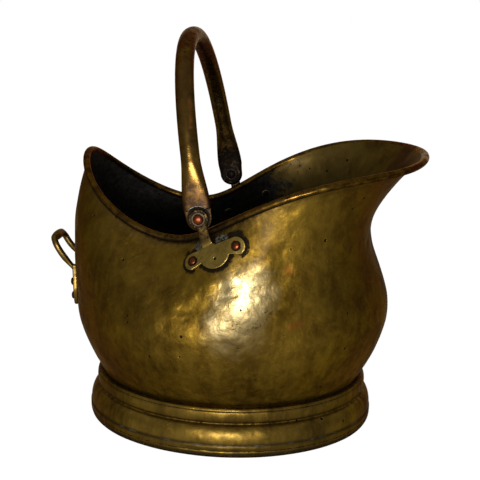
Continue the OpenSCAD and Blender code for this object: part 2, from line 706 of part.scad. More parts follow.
// The rod is flat where it leaves the feet, round in the arms and swelled in the grip
module rod_skin() {
    sides = 12;
    arm_steps = 7;
    bend_steps = 5;
    grip_steps = 4;
    swell_from = 1.5;       // place on the rod where the grip starts to swell
    root_widen = 0.12;      // how much wider than round the rod is at its feet
    look = 0.02;            // distance on the rod over which its direction is taken
    turns = concat(
        [for (i = [0:arm_steps]) i / arm_steps],
        [for (i = [1:bend_steps - 1]) 1 + i / bend_steps],
        [for (i = [0:grip_steps - 1]) 2 + i / grip_steps]);
    ring = function(u, flip)
        let (p = rod(u),
             up = unit(rod(min(3, u + look)) - rod(max(0, u - look))),
             wide = unit(cross(up, [1, 0, 0])),
             thick = cross(wide, up),
             flat = max(0, 1 - u * 2),
             swell = sin(90 * max(0, u - swell_from) / (3 - swell_from)),
             half_w = arm_d / 2 * (1 + 2 * root_widen * flat) + swell * (grip_d - arm_d) / 2,
             half_t = arm_d / 2 * (1 - flat) + leaf_t / 2 * flat + swell * (grip_d - arm_d) / 2)
        [for (j = [0:sides - 1])
            let (a = j * 360 / sides, q = p + half_w * cos(a) * wide + half_t * sin(a) * thick)
            flip ? [q[0], -q[1], q[2]] : q];
    last = len(turns) - 1;
    skin(concat(
        [for (i = [0:last]) ring(turns[i], false)],
        [ring(3, false)],
        [for (i = [last:-1:0]) ring(turns[i], true)]
    ));
}

module rear_handle() {
    color(old_brass) difference() {
        union() {
            rod_skin();
            for (side = [0, 1]) mirror([0, side, 0])
                frame(leaf_middle, leaf_out, leaf_up)
                    translate([0, 0, seat]) linear_extrude(leaf_t) leaf_outline();
        }
        for (side = [0, 1], i = [0, 1]) mirror([0, side, 0]) grip_rivet_frame(i) rivet_hole();
    }
}

body_shell();
rim_wire();
bottom_plate();
foot_ring();
mirror([0, 1, 0]) lug();  // lug_right
lug();  // lug_left
mirror([0, 1, 0]) lug_rivet(0);  // lug_rivet_right_front
mirror([0, 1, 0]) lug_rivet(1);  // lug_rivet_right_back
lug_rivet(0);  // lug_rivet_left_front
lug_rivet(1);  // lug_rivet_left_back
mirror([0, 1, 0]) lug_burr(0);  // lug_burr_right_front
mirror([0, 1, 0]) lug_burr(1);  // lug_burr_right_back
lug_burr(0);  // lug_burr_left_front
lug_burr(1);  // lug_burr_left_back
bail();
mirror([0, 1, 0]) pivot_rivet();  // pivot_rivet_right
pivot_rivet();  // pivot_rivet_left
mirror([0, 1, 0]) pivot_washer(washer_out_y);  // pivot_washer_right_outer
mirror([0, 1, 0]) pivot_washer(washer_in_y);  // pivot_washer_right_inner
pivot_washer(washer_out_y);  // pivot_washer_left_outer
pivot_washer(washer_in_y);  // pivot_washer_left_inner
rear_handle();
mirror([0, 1, 0]) grip_rivet(0);  // grip_rivet_right_upper
mirror([0, 1, 0]) grip_rivet(1);  // grip_rivet_right_lower
grip_rivet(0);  // grip_rivet_left_upper
grip_rivet(1);  // grip_rivet_left_lower
mirror([0, 1, 0]) grip_burr(0);  // grip_burr_right_upper
mirror([0, 1, 0]) grip_burr(1);  // grip_burr_right_lower
grip_burr(0);  // grip_burr_left_upper
grip_burr(1);  // grip_burr_left_lower
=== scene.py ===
# %% [markdown]
# # A brass helmet coal scuttle
# The scuttle is a hammered bowl that rises into a pouring spout. It stands on a spun foot, swings
# from a bent tube and has a fixed grip at the back. Its metal is old: olive-brown where it has
# dulled, gold where hands and cloths have rubbed it, and black inside where coal has lain.
# The frame brings the pieces at their real size and place. This script builds finer skins over
# them from the same dimensions, and then the metal that makes them look a hundred years old.

# %% Tools and the fixed frame
import math

import bpy
import numpy as np
from mathutils import Matrix, Vector


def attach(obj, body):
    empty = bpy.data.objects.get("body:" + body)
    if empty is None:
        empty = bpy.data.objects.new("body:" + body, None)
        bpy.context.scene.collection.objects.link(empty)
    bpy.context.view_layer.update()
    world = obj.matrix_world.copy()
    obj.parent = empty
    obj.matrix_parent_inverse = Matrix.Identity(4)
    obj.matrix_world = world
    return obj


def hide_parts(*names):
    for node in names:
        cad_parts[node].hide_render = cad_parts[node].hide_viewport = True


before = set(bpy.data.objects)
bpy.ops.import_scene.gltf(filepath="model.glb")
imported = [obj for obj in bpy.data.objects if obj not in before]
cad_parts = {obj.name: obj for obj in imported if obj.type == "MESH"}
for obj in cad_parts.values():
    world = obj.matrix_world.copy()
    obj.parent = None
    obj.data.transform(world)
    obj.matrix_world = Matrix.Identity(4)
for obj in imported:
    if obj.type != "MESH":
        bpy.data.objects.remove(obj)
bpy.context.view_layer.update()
MM = 0.001

# %% [markdown]
# ## The camera
# The camera stands where the photographer stood: a little to the front of the scuttle's right
# side, above the rim and looking down. It is set first, so that each piece can be judged in the
# photograph's own frame. Three directions at right angles give its turn, tilt and slight roll.

# %% Camera
CAMERA_AT = (0.14933, -1.33017, 0.48300)
LOOKS_ALONG = (-0.10479262, 0.9704831, -0.21721204)
RIGHT_OF_VIEW = (0.99322657, 0.11315607, 0.0263947)
TOP_OF_VIEW = (-0.05019447, 0.2129748, 0.97576752)
LENS_MM, SENSOR_MM = 97.56, 36.0


def add_camera():
    """The camera's columns are its right, its top and the way back from the scene."""
    lens = bpy.data.cameras.new("camera")
    lens.lens = LENS_MM
    lens.sensor_width = SENSOR_MM
    lens.clip_end = 50.0
    camera = bpy.data.objects.new("camera", lens)
    turn = np.eye(4)
    turn[:3, 0] = RIGHT_OF_VIEW
    turn[:3, 1] = TOP_OF_VIEW
    turn[:3, 2] = [-c for c in LOOKS_ALONG]
    turn[:3, 3] = CAMERA_AT
    camera.matrix_world = Matrix(turn.tolist())
    bpy.context.scene.collection.objects.link(camera)
    bpy.context.scene.camera = camera


add_camera()
print("camera at", CAMERA_AT)

# %% [markdown]
# ## Surfaces from arrays
# Every new skin is a grid of points: one direction runs round or along the piece, the other runs
# over its section. A grid that closes on itself both ways is a solid skin, and one that closes
# round its section gets a cap at each end. Written as whole arrays, a million points take no
# longer to set out than a dozen do by hand.

# %% Helpers for points and meshes
def unit(v):
    """Each vector divided by its own length."""
    return v / np.linalg.norm(v, axis=-1, keepdims=True)


def smooth(x):
    """0 up to x = 0, 1 from x = 1, and three x squared less two x cubed between them."""
    x = np.clip(x, 0.0, 1.0)
    return x * x * (3.0 - 2.0 * x)


def bezier(a, b, c, d, t):
    """Cubic curve that leaves a towards b and comes into d from c."""
    return a * (1 - t) ** 3 + 3 * b * t * (1 - t) ** 2 + 3 * c * t * t * (1 - t) + d * t**3


def grid_quads(rows, columns, wrap_rows):
    """Four corners of each cell. The columns close on themselves, and so do rows that wrap."""
    i = np.arange(rows if wrap_rows else rows - 1)[:, None]
    j = np.arange(columns)[None, :]
    i2, j2 = (i + 1) % rows, (j + 1) % columns
    cells = (i * columns + j, i * columns + j2, i2 * columns + j2, i2 * columns + j)
    return np.stack([np.broadcast_to(c, (i.size, j.size)) for c in cells], -1).reshape(-1, 4)


class Skin:
    """Points in millimetres and faces of several closed grids, gathered into one mesh."""

    def __init__(self):
        self.points, self.quads, self.count = [], [], 0
        self.marks = {}

    def add(self, points, wrap_rows=False, flip=False, **marks):
        """One grid of shape rows by columns by 3. An open grid's end rows are drawn in to a point."""
        points = np.asarray(points, float)
        if not wrap_rows:
            first = points[:1].mean(1, keepdims=True) + 0 * points[:1]
            last = points[-1:].mean(1, keepdims=True) + 0 * points[-1:]
            points = np.concatenate([first, points, last])
            marks = {k: np.concatenate([m[:1], m, m[-1:]]) for k, m in marks.items()}
        rows, columns = points.shape[:2]
        quads = grid_quads(rows, columns, wrap_rows)
        if flip:
            quads = quads[:, ::-1]
        self.points.append(points.reshape(-1, 3))
        self.quads.append(quads + self.count)
        self.count += rows * columns
        for key, mark in marks.items():
            self.marks.setdefault(key, []).append(mark.reshape(-1))

    def mesh(self, name):
        """Blender's mesh, with doubled points at the poles merged and its marks as attributes."""
        points = (np.concatenate(self.points) * MM).astype(np.float32)
        points, first, same = np.unique(points, axis=0, return_index=True, return_inverse=True)
        faces = same.reshape(-1)[np.concatenate(self.quads)].astype(np.int32)
        kept = faces != np.roll(faces, 1, axis=1)       # a corner that repeats the last one goes
        corners, sizes = faces[kept], kept.sum(1)
        mesh = bpy.data.meshes.new(name)
        mesh.vertices.add(len(points))
        mesh.vertices.foreach_set("co", points.reshape(-1))
        mesh.loops.add(len(corners))
        mesh.loops.foreach_set("vertex_index", corners)
        mesh.polygons.add(len(sizes))
        mesh.polygons.foreach_set("loop_start", (sizes.cumsum() - sizes).astype(np.int32))
        mesh.update(calc_edges=True)
        mesh.validate()
        for key, parts in self.marks.items():
            attribute = mesh.attributes.new(key, "FLOAT", "POINT")
            values = np.concatenate(parts).astype(np.float32)[first]
            attribute.data.foreach_set("value", values)
        return mesh


def raw_points(mesh):
    """The mesh's points in metres, one row each."""
    co = np.empty(len(mesh.vertices) * 3, np.float32)
    mesh.vertices.foreach_get("co", co)
    return co.reshape(-1, 3)


print("a closed grid of 4 rings of 3 points has", len(grid_quads(4, 3, True)), "faces")

# %% [markdown]
# ## The wall of the bowl
# A coppersmith raises such a bowl from one sheet over stakes. Seen from above its mouth is an egg
# with a long lip, and seen from the side its rim dips beside the handle and climbs to the spout.
# It could be sculpted, but then nothing would sit on it truly. So the wall is one formula with two
# numbers: the angle round the bowl, from the lip at 0 to the back at 180 degrees, and the rise
# from the neck at -1, over the belly at 0, to the rim at 1. The lugs, the grip's feet and the
# rivets all ask the same formula where the metal is.

# %% The wall's formula
BELLY_R, BELLY_Z, BELLY_RUN = 164.0, 121.0, 28.0
NECK_R, NECK_LEAN, NECK_HOLD, NECK_DEPTH = 136.0, 35.0, 14.0, 11.0
FOOT_R, FOOT_H, SEAT, SHEET = 150.0, 48.0, 0.35, 1.5
SOLDERED = 0.03         # what solder leaves open between the neck and the bottom plate
RUBBED_OFF = 0.05       # what polishing took off the roll
BEAD_R, ROLL_TURN = 3.6, 285.0
RIM_REACH = (193, 190, 165, 127, 119, 147, 153.5)
RIM_HEIGHT = (284, 281, 266, 224, 207, 240, 273)
BELLY_RISE = (61, 32, 29)
FLARE_LEAN = np.radians((47, 38, -27, -40, -23))
FLARE_HOLD = np.array((125, 59, 31, 54, 59))


def cosine_weights(values):
    """Weights of cos(k a) for an even curve through values at equal steps from 0 to 180."""
    n = len(values) - 1
    ends = np.ones(n + 1)
    ends[[0, -1]] = 0.5
    k = np.arange(n + 1)
    waves = np.cos(np.outer(k, k) * np.pi / n)
    return ends * 2 / n * (waves @ (ends * np.asarray(values, float)))


def cosine_curve(weights, a):
    """Sum over k of weight k times cos(k a), for a in radians."""
    return np.cos(np.asarray(a)[..., None] * np.arange(len(weights))) @ weights


REACH_W, HEIGHT_W, RISE_W = (cosine_weights(v) for v in (RIM_REACH, RIM_HEIGHT, BELLY_RISE))
FLARE_OUT_W = cosine_weights(FLARE_HOLD * np.sin(FLARE_LEAN))
FLARE_UP_W = cosine_weights(FLARE_HOLD * np.cos(FLARE_LEAN))


def pair(out, up):
    """Distances out from the axis and heights, side by side."""
    return np.stack(np.broadcast_arrays(out, up), -1)


def wall(a, t):
    """Outer face: one cubic from the neck to the belly and one on to the rim, turned by a."""
    a, t = np.broadcast_arrays(np.asarray(a, float), np.asarray(t, float))
    s = t[..., None]
    lean = math.radians(NECK_LEAN)
    neck, belly = np.array((NECK_R, FOOT_H + SEAT)), np.array((BELLY_R, BELLY_Z))
    lower = bezier(neck, neck + NECK_HOLD * np.array((math.sin(lean), math.cos(lean))),
                   belly - (0, BELLY_RUN), belly, s + 1)
    edge = pair(cosine_curve(REACH_W, a), cosine_curve(HEIGHT_W, a))
    flare = pair(cosine_curve(FLARE_OUT_W, a), cosine_curve(FLARE_UP_W, a))
    rise = pair(BELLY_R, BELLY_Z + cosine_curve(RISE_W, a))
    upper = bezier(belly, rise, edge - flare, edge, s)
    p = np.where(s < 0, lower, upper)
    return np.stack([p[..., 0] * np.cos(a), p[..., 0] * np.sin(a), p[..., 1]], -1)


def wall_slopes(a, t):
    """Change of the wall for each radian round it and for each unit of rise: the wall's points
    on both sides of the place, taken from each other and divided by the step between them."""
    da, dt = 0.0009, 0.001
    t0, t1 = np.maximum(t - dt, -1), np.minimum(t + dt, 1)
    up = (wall(a, t1) - wall(a, t0)) / np.asarray(t1 - t0)[..., None]
    return (wall(a + da, t) - wall(a - da, t)) / (2 * da), up


def wall_out(a, t):
    """The outward direction, square to both slopes."""
    return unit(np.cross(*wall_slopes(a, t)))


def bead(a, r, turn):
    """Points of the rolled rim: a circle of r round the wire, from the wall's side up and over."""
    one = np.ones_like(a)
    out = wall_out(a, one)
    up = unit(np.cross(out, wall_slopes(a, one)[0]))
    middle = wall(a, one) + (BEAD_R - SHEET) * out
    return middle + r * (np.sin(turn)[..., None] * up - np.cos(turn)[..., None] * out)


print("the lip reaches", RIM_REACH[0], "mm and the rim dips to", min(RIM_HEIGHT), "mm")

# %% [markdown]
# ## Hammer marks
# The outside was planished: hundreds of light blows with a polished hammer leave shallow round
# flats that overlap. On old work they have nearly been rubbed away, and what stays is a slight
# unrest in every reflection. A bump map alone would leave the outline too perfect, so each blow is
# a real hollow here. A lattice with one blow in each cell is laid over the bowl, each blow is
# moved a little at random, and each point adds the hollows of its own cell and the eight round it.
# Long swells and a few knocks from a century of use come on top. The sheet is pushed in, never
# out. The rim and the neck stay true, and where a lug or the grip is riveted on, only the blows
# go on underneath.

# %% Dents
BLOW_R, BLOW_DEPTH, BLOW_ROW, BLOW_JITTER = 11.0, 0.32, 18.0, 0.45
BLOWS_ROUND, BLOWS_BELOW, BLOWS_ABOVE = 54, 5, 10
SWELLS = ((0.9, 7, 150, 5), (0.55, 9, 55, 6))       # depth, number of sines, longest sine, seed
TRUE_REACH, RIM_FADE, NECK_FADE = 26, 0.10, 0.25


def blows(a, t):
    """Sum of round hollows. Each cell of a lattice holds one blow, moved by a seeded jitter, and
    each point adds the hollows of its own cell and the eight round it."""
    rng = np.random.default_rng(4)
    shape = (BLOWS_ROUND, BLOWS_BELOW + BLOWS_ABOVE + 4, 3)
    table = rng.uniform(-BLOW_JITTER, BLOW_JITTER, shape)
    u = np.mod(a, 2 * np.pi) / (2 * np.pi) * BLOWS_ROUND
    v = np.where(t < 0, t * BLOWS_BELOW, t * BLOWS_ABOVE) + BLOWS_BELOW + 2
    step_u, step_v = 2 * np.pi * BELLY_R / BLOWS_ROUND, BLOW_ROW
    depth = np.zeros(u.shape)
    for di in (-1, 0, 1):
        for dj in (-1, 0, 1):
            i, j = np.floor(u).astype(int) + di, np.floor(v).astype(int) + dj
            blow = table[i % BLOWS_ROUND, np.clip(j, 0, table.shape[1] - 1)]
            gap = np.hypot((u - i - 0.5 - blow[..., 0]) * step_u,
                           (v - j - 0.5 - blow[..., 1]) * step_v)
            depth += (0.6 + blow[..., 2]) * smooth(1 - gap / BLOW_R)
    return depth


def waves(p, count, longest, seed):
    """A soft unrest between 0 and 1: half of 1 plus the tanh of a sum of sines, which run in
    seeded directions and are divided by the root of their number."""
    rng = np.random.default_rng(seed)
    total = np.zeros(p.shape[:-1])
    for _ in range(count):
        way = unit(rng.normal(size=3))
        total += np.sin(p @ way * 2 * np.pi / (longest * rng.uniform(0.5, 1.0))
                        + rng.uniform(0, 2 * np.pi))
    return 0.5 + 0.5 * np.tanh(total / math.sqrt(count))


def keep_true(points, places, reach):
    """0 within reach of any place and 1 from twice reach on."""
    gap = np.min([np.linalg.norm(points - np.array(p), axis=-1) for p in places], axis=0)
    return smooth(gap / reach - 1)


# angle in degrees, rise, inner radius, outer radius and depth of each knock
KNOCKS = ((278.4, 0.29, 46, 100, 3.0), (262, 0.30, 1, 22, 0.7), (248, 0.45, 1, 20, 0.6),
          (301, 0.14, 1, 26, 0.8), (320, 0.42, 1, 30, 0.8), (60, 0.40, 30, 70, 2.0),
          (118, 0.20, 1, 26, 0.9), (186, 0.34, 1, 34, 1.0), (20, 0.36, 1, 30, 0.8),
          (150, 0.55, 1, 24, 0.7), (225, 0.10, 1, 28, 0.8))


def knocks(points):
    """Old knocks. Each sinks the metal round a place, from nothing at its inner radius (where a
    proud middle is left) to its depth, and back to nothing at its outer radius."""
    depth = np.zeros(points.shape[:-1])
    for angle, rise, inner, outer, deep in KNOCKS:
        gap = np.linalg.norm(points - wall(math.radians(angle), rise), axis=-1)
        depth += deep * smooth(gap / inner) * smooth((outer - gap) / (outer - inner))
    return depth


def dents(points, a, t, places):
    """Depth in millimetres: blows, and swells and knocks that leave the riveted places alone, all
    faded out towards the rim and the neck."""
    swells = sum(depth * waves(points, *rest) for depth, *rest in SWELLS)
    ends = smooth((1 - t) / RIM_FADE) * smooth((t + 1) / NECK_FADE)
    true = keep_true(points, places, TRUE_REACH)
    return (BLOW_DEPTH * blows(a, t) + (swells + knocks(points)) * true) * ends


print(len(KNOCKS), "old knocks, the deepest", max(knock[-1] for knock in KNOCKS), "mm")

# %% [markdown]
# ## Where the pieces meet
# Each fitting hangs on the wall's formula. The lug's rivets are a set pitch apart at a set depth
# under the rim, its plate lies in the plane through them, and the pivot stands above and behind.
# The bail's ends clear the rolled rim, and the lug's round head clears the bail. Worked out here
# in the same order as in the solid model.

# %% Places of the fittings
LUG_ANGLE, LUG_DROP, LUG_PITCH, LUG_NEAR_T = math.radians(91.4), 25.5, 48.0, 0.88
PIVOT_BACK, PIVOT_RISE = 17.5, 32.5
TIP_D, LAP_T, SIDE_PLAY, PADDLE_T, TONGUE_T = 25.0, 4.6, 0.2, 9.6, 4.8
WASHER_T, WASHER_D, PIVOT_D, RIVET_FIT = 1.2, 14.5, 7.0, 0.05
BURR_T, BURR_D, RIVET_D = 1.0, 10.0, 5.0
GRIP_FOOT_Y, GRIP_RIVET_Z, GRIP_PITCH, LEAF_T, PLATE_T = 24.0, 137.5, 15.0, 4.2, 2.5


def place(a, t):
    """The wall's point, outward direction and rise at one place."""
    a, t = np.array(a, float), np.array(t, float)
    return wall(a, t), wall_out(a, t), unit(wall_slopes(a, t)[1])


lug_t = 1 - LUG_DROP / np.linalg.norm(wall_slopes(LUG_ANGLE, LUG_NEAR_T)[1])
lug_spread = LUG_PITCH / np.linalg.norm(wall_slopes(LUG_ANGLE, lug_t)[0])
lug_places = [place(LUG_ANGLE + s * lug_spread / 2, lug_t) for s in (-1, 1)]
lug_front, lug_back = lug_places[0][0], lug_places[1][0]
lug_middle = (lug_front + lug_back) / 2
lug_x = unit(lug_back - lug_front)
lug_y = unit(np.cross(wall_out(LUG_ANGLE, lug_t), lug_x))
lug_z = np.cross(lug_x, lug_y)
PIVOT_X, PIVOT_Z = lug_middle[0] - PIVOT_BACK, lug_middle[2] + PIVOT_RISE

rim_angles = np.radians(np.linspace(60, 120, 6001))
rim_side = bead(rim_angles, BEAD_R, np.full(rim_angles.shape, np.pi))
BAIL_INNER_Y = np.interp(-(PIVOT_X + TIP_D / 4), -rim_side[:, 0], rim_side[:, 1]) + SEAT
LAP_Y = BAIL_INNER_Y + LAP_T
HEAD_Y = LAP_Y + SIDE_PLAY
BAIL_Y = BAIL_INNER_Y + PADDLE_T / 2
WASHER_IN_Y = BAIL_INNER_Y - SIDE_PLAY - WASHER_T
WASHER_OUT_Y = HEAD_Y + TONGUE_T + RIVET_FIT

leaf_angle = math.pi - math.asin(GRIP_FOOT_Y / BELLY_R)
rises = np.linspace(0, 1, 4001)
heights = wall(leaf_angle, rises)[:, 2]
leaf_t = [float(np.interp(z, heights, rises)) for z in (GRIP_RIVET_Z, GRIP_RIVET_Z - GRIP_PITCH)]
leaf_places = [place(leaf_angle, t) for t in leaf_t]
print("pivot", round(float(PIVOT_X), 3), round(float(PIVOT_Z), 3),
      "bail inside", round(float(BAIL_INNER_Y), 3))


# %% [markdown]
# ## The bowl
# Body and spout are one sheet, so they are one skin here. A section starts inside the foot, climbs
# the outside, curls over the wire and comes back down the inside, a sheet's thickness away. That
# closed line is carried round the wall's angle, which gives a real inside, a real rolled rim with
# its dark slot underneath, and one mesh without a seam. Each point also stores which face it lies
# on, so that the finish can be soot inside, worn brass outside and red-brown on the roll.

# %% Bowl
COLUMNS, NECK_RINGS, SIDE_RINGS, CURL_IN_RINGS, CURL_OUT_RINGS = 528, 22, 56, 9, 20
OUTSIDE, ROLL, INSIDE = 0.0, 0.5, 1.0       # the sort of face that a point of the bowl lies on


def bowl_section():
    """Rises from the neck up to the rim, and the turns of the roll, inside it and outside it."""
    lower = -1 + np.arange(NECK_RINGS) / NECK_RINGS
    upper = np.arange(SIDE_RINGS) / SIDE_RINGS
    upper = upper + 0.05 * np.sin(np.pi * upper) * upper
    turns_in = np.radians(np.linspace(0, ROLL_TURN, CURL_IN_RINGS))
    turns_out = np.radians(np.linspace(ROLL_TURN, 0, CURL_OUT_RINGS))
    return np.concatenate([lower, upper]), turns_in, turns_out


def neck_ring(a, r):
    """One circle of the neck's lower end, down inside the foot's collar."""
    return np.stack([r * np.cos(a), r * np.sin(a), FOOT_H - NECK_DEPTH + 0 * a], -1)[:, None]


def roll_rings(a, r, turns):
    """The rolled rim of radius r at each turn, all round the bowl."""
    return np.stack([bead(a, r, np.full(a.shape, turn)) for turn in turns], 1)


def make_bowl():
    """Rings of the section at each angle, pushed in by the dents along the wall's direction."""
    rises, turns_in, turns_out = bowl_section()
    a = np.arange(COLUMNS) * 2 * np.pi / COLUMNS
    aa, tt = np.meshgrid(a, rises, indexing="ij")
    outer, out = wall(aa, tt), wall_out(aa, tt)
    places = [p * (1, side, 1) for p, _, _ in lug_places + leaf_places for side in (1, -1)]
    push = dents(outer, aa, tt, places)[..., None] * out
    parts = ((OUTSIDE, neck_ring(a, NECK_R)),
             (OUTSIDE, outer - push),
             (ROLL, roll_rings(a, BEAD_R - SHEET, turns_in)),
             (ROLL, roll_rings(a, BEAD_R - RUBBED_OFF, turns_out)),
             (INSIDE, (outer - push - SHEET * out)[:, ::-1]),
             (INSIDE, neck_ring(a, NECK_R - SHEET - SEAT + SOLDERED)))
    sort = np.concatenate([np.full(rings.shape[1], kind) for kind, rings in parts])
    points = np.concatenate([rings for _, rings in parts], 1)
    skin = Skin()
    skin.add(points, wrap_rows=True, flip=True, sort=np.tile(sort, (COLUMNS, 1)))
    print("bowl:", points.shape[0] * points.shape[1] * 2, "triangles, deepest dent",
          round(float(np.abs(push).max()), 2), "mm")
    return skin.mesh("bowl")


def new_piece(name, mesh):
    """An object at the origin, with its place in its mesh and smooth faces."""
    piece = bpy.data.objects.new(name, mesh)
    bpy.context.scene.collection.objects.link(piece)
    mesh.shade_smooth()
    return piece


def volume(mesh):
    """Sum over the triangles of a . (b x c) / 6, which is above 0 when faces point outwards."""
    mesh.calc_loop_triangles()
    tri = np.empty(len(mesh.loop_triangles) * 3, np.int32)
    mesh.loop_triangles.foreach_get("vertices", tri)
    a, b, c = raw_points(mesh).astype(float)[tri.reshape(-1, 3)].transpose(1, 0, 2)
    return float(np.einsum("ij,ij->i", a, np.cross(b, c)).sum() / 6)


bowl = new_piece("bowl", make_bowl())
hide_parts("body_shell")
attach(bowl, "scuttle")
print("bowl holds", round(volume(bowl.data) * 1e6, 1), "cubic centimetres of brass")

# %% [markdown]
# ## The foot
# The foot was spun: a disc of brass pressed over a turning wooden form, which leaves perfectly
# round steps. Its profile runs from the collar that grips the bowl, down a hollow and a wide
# flare, to a plain band and the hem it stands on. One fine line is turned low in the band and one
# near the collar's top. A profile turned about the axis is the natural way. Three waves are added,
# up to six tenths of a millimetre deep and inwards only, because a thin foot that has been kicked
# about a hearth for a century isn't round any more.

# %% Foot
BAND_H, WAIST_R, WAIST_Z, COLLAR_SWELL, FOOT_SHEET, FOOT_HEM = 12.0, 140.0, 33.0, 2.6, 2.0, 8.0
TURN_W, TURN_H, GROOVE, LINE_CUT, LINE_Z, LINE_H = 3.5, 8.0, 0.7, 0.55, 7.2, 0.4
BEAD_TURN = 36.0        # where the collar's fine line lies on its half round, in degrees
FOOT_COLUMNS, FOOT_WAVE, WAVE_TOP, WAVE_RUN = 480, 0.14, 14, 25


def arc(middle, rx, ry, start, stop, steps):
    """Points of an ellipse round middle, from start to stop degrees."""
    a = np.radians(np.linspace(start, stop, steps + 1))
    return np.stack([middle[0] + rx * np.cos(a), middle[1] + ry * np.sin(a)], -1)


def foot_profile():
    """The foot's closed section, radius and height of each point: outside from the floor up, and
    inside back down."""
    collar_z = (WAIST_Z + FOOT_H) / 2
    collar_h = FOOT_H - collar_z
    flare_w, flare_h = FOOT_R - GROOVE - WAIST_R, WAIST_Z - BAND_H - 5 * GROOVE
    base = BAND_H + 3 * GROOVE
    outside = [arc((FOOT_R - TURN_W, TURN_H), TURN_W, TURN_H, -90, -12, 9),
               [(FOOT_R - LINE_CUT, LINE_Z - LINE_H / 2), (FOOT_R - LINE_CUT, LINE_Z + LINE_H / 2),
                (FOOT_R - 0.05, TURN_H)],
               [(FOOT_R, BAND_H - 0.4), (FOOT_R - 0.15, BAND_H)],
               [(FOOT_R - GROOVE, BAND_H + GROOVE), (FOOT_R - GROOVE, BAND_H + 2 * GROOVE)],
               arc((WAIST_R, base), flare_w, flare_h, 0, 80, 18),
               [(WAIST_R + 0.6, WAIST_Z - 1.2), (WAIST_R, WAIST_Z)],
               arc((WAIST_R, collar_z), COLLAR_SWELL, collar_h, -70, BEAD_TURN - 5, 12),
               arc((WAIST_R - LINE_CUT, collar_z), COLLAR_SWELL, collar_h, BEAD_TURN - 1,
                   BEAD_TURN + 1, 1),
               arc((WAIST_R, collar_z), COLLAR_SWELL, collar_h, BEAD_TURN + 5, 75, 6),
               [(NECK_R + FOOT_SHEET * 0.7, FOOT_H)]]
    inner_r, inner_w = NECK_R + SEAT, WAIST_R - FOOT_SHEET
    inside = [[(inner_r, FOOT_H), (inner_r, WAIST_Z + 2 * GROOVE), (inner_w, WAIST_Z)],
              arc((inner_w, base), flare_w, flare_h - FOOT_SHEET, 80, 0, 12),
              [(FOOT_R - GROOVE - FOOT_SHEET, 7.0), (FOOT_R - GROOVE - FOOT_SHEET, FOOT_SHEET),
               (FOOT_R - FOOT_HEM, FOOT_SHEET), (FOOT_R - FOOT_HEM, 0.0)]]
    return np.concatenate([np.asarray(p, float) for p in outside + inside])


def foot_wear(a, z):
    """Three waves round the foot, none at the collar and deepest at the hem, always inwards."""
    low = smooth((FOOT_H - WAVE_TOP - z) / WAVE_RUN)
    wave = 2.2 + np.sin(3 * a + 0.7) + 0.6 * np.sin(7 * a + 2.0) + 0.4 * np.sin(17 * a)
    return FOOT_WAVE * low * wave


def worn_foot():
    """The profile at each angle about the upright axis, its radius less the wear."""
    profile = foot_profile()
    a = np.arange(FOOT_COLUMNS)[:, None] * 2 * np.pi / FOOT_COLUMNS
    r, z = profile[None, :, 0], profile[None, :, 1]
    r = r - foot_wear(a, z)
    return np.stack([r * np.cos(a), r * np.sin(a), z + 0 * r], -1)


foot_skin = Skin()
foot_skin.add(worn_foot(), wrap_rows=True, flip=True)
foot = new_piece("foot", foot_skin.mesh("foot"))
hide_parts("foot_ring")
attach(foot, "scuttle")
print("foot holds", round(volume(foot.data) * 1e6, 1), "cubic centimetres of brass")


# %% [markdown]
# ## Numbers on the surface
# A finish often has to know where it is: how far a point lies from a rivet, or whether it is
# inside the bowl. Such a number can be worked out once for each point and stored in the mesh as
# an attribute, which a material then reads by name. It moves with the piece.

# %% Helpers for stored numbers
ROWS_AT_ONCE = 4000


def store(piece, name, values):
    """Adds one number for each point of the piece, for the materials to read."""
    attribute = piece.data.attributes.new(name, "FLOAT", "POINT")
    attribute.data.foreach_set("value", np.asarray(values, np.float32))


def points_of(piece):
    """The piece's points in millimetres."""
    return raw_points(piece.data).astype(float) / MM


def normals_of(piece):
    """The outward direction at each of the piece's points."""
    normals = np.empty(len(piece.data.vertices) * 3, np.float32)
    piece.data.vertex_normals.foreach_get("vector", normals)
    return normals.reshape(-1, 3)


def gap_to(points, places):
    """Smallest distance from each point to any of the places, a few thousand points at a time."""
    gaps = [np.sqrt(((points[i:i + ROWS_AT_ONCE, None] - places[None]) ** 2).sum(-1)).min(1)
            for i in range(0, len(points), ROWS_AT_ONCE)]
    return np.concatenate(gaps)


def fade(gap, reach, start=0.0):
    """1 up to start, 0 from start + reach on, and a smooth step from one to the other."""
    return 1 - smooth((gap - start) / reach)


print("halfway along its reach, a stored distance counts", float(fade(2.0, 4.0)))

# %% [markdown]
# ## Forged fittings
# The lugs, the bail and the grip were cast or forged and then filed by hand. Nowhere does one
# part of them meet another at a knife edge: there is always a small fillet that the file or the
# mould left. Bevels on such joins are fiddly to make one at a time. It is simpler to set the
# closed forms into each other, turn the whole into a fine skin of small even squares, which welds
# them, and let it relax a little. The relaxing rounds every edge by about half a millimetre.

# %% Helpers for forged pieces
def sweep(centres, wide, thick, half_w, half_t, power, sides):
    """Rings about each centre: c and s of a turn, raised to power with their signs, times the
    half width along wide and the half thickness along thick."""
    a = np.arange(sides) * 2 * np.pi / sides
    c, s = np.cos(a)[None, :, None], np.sin(a)[None, :, None]
    power = np.broadcast_to(power, half_w.shape)[:, None, None]
    across = wide[:, None] * half_w[:, None, None] * np.sign(c) * np.abs(c) ** power
    through = thick[:, None] * half_t[:, None, None] * np.sign(s) * np.abs(s) ** power
    return centres[:, None] + across + through


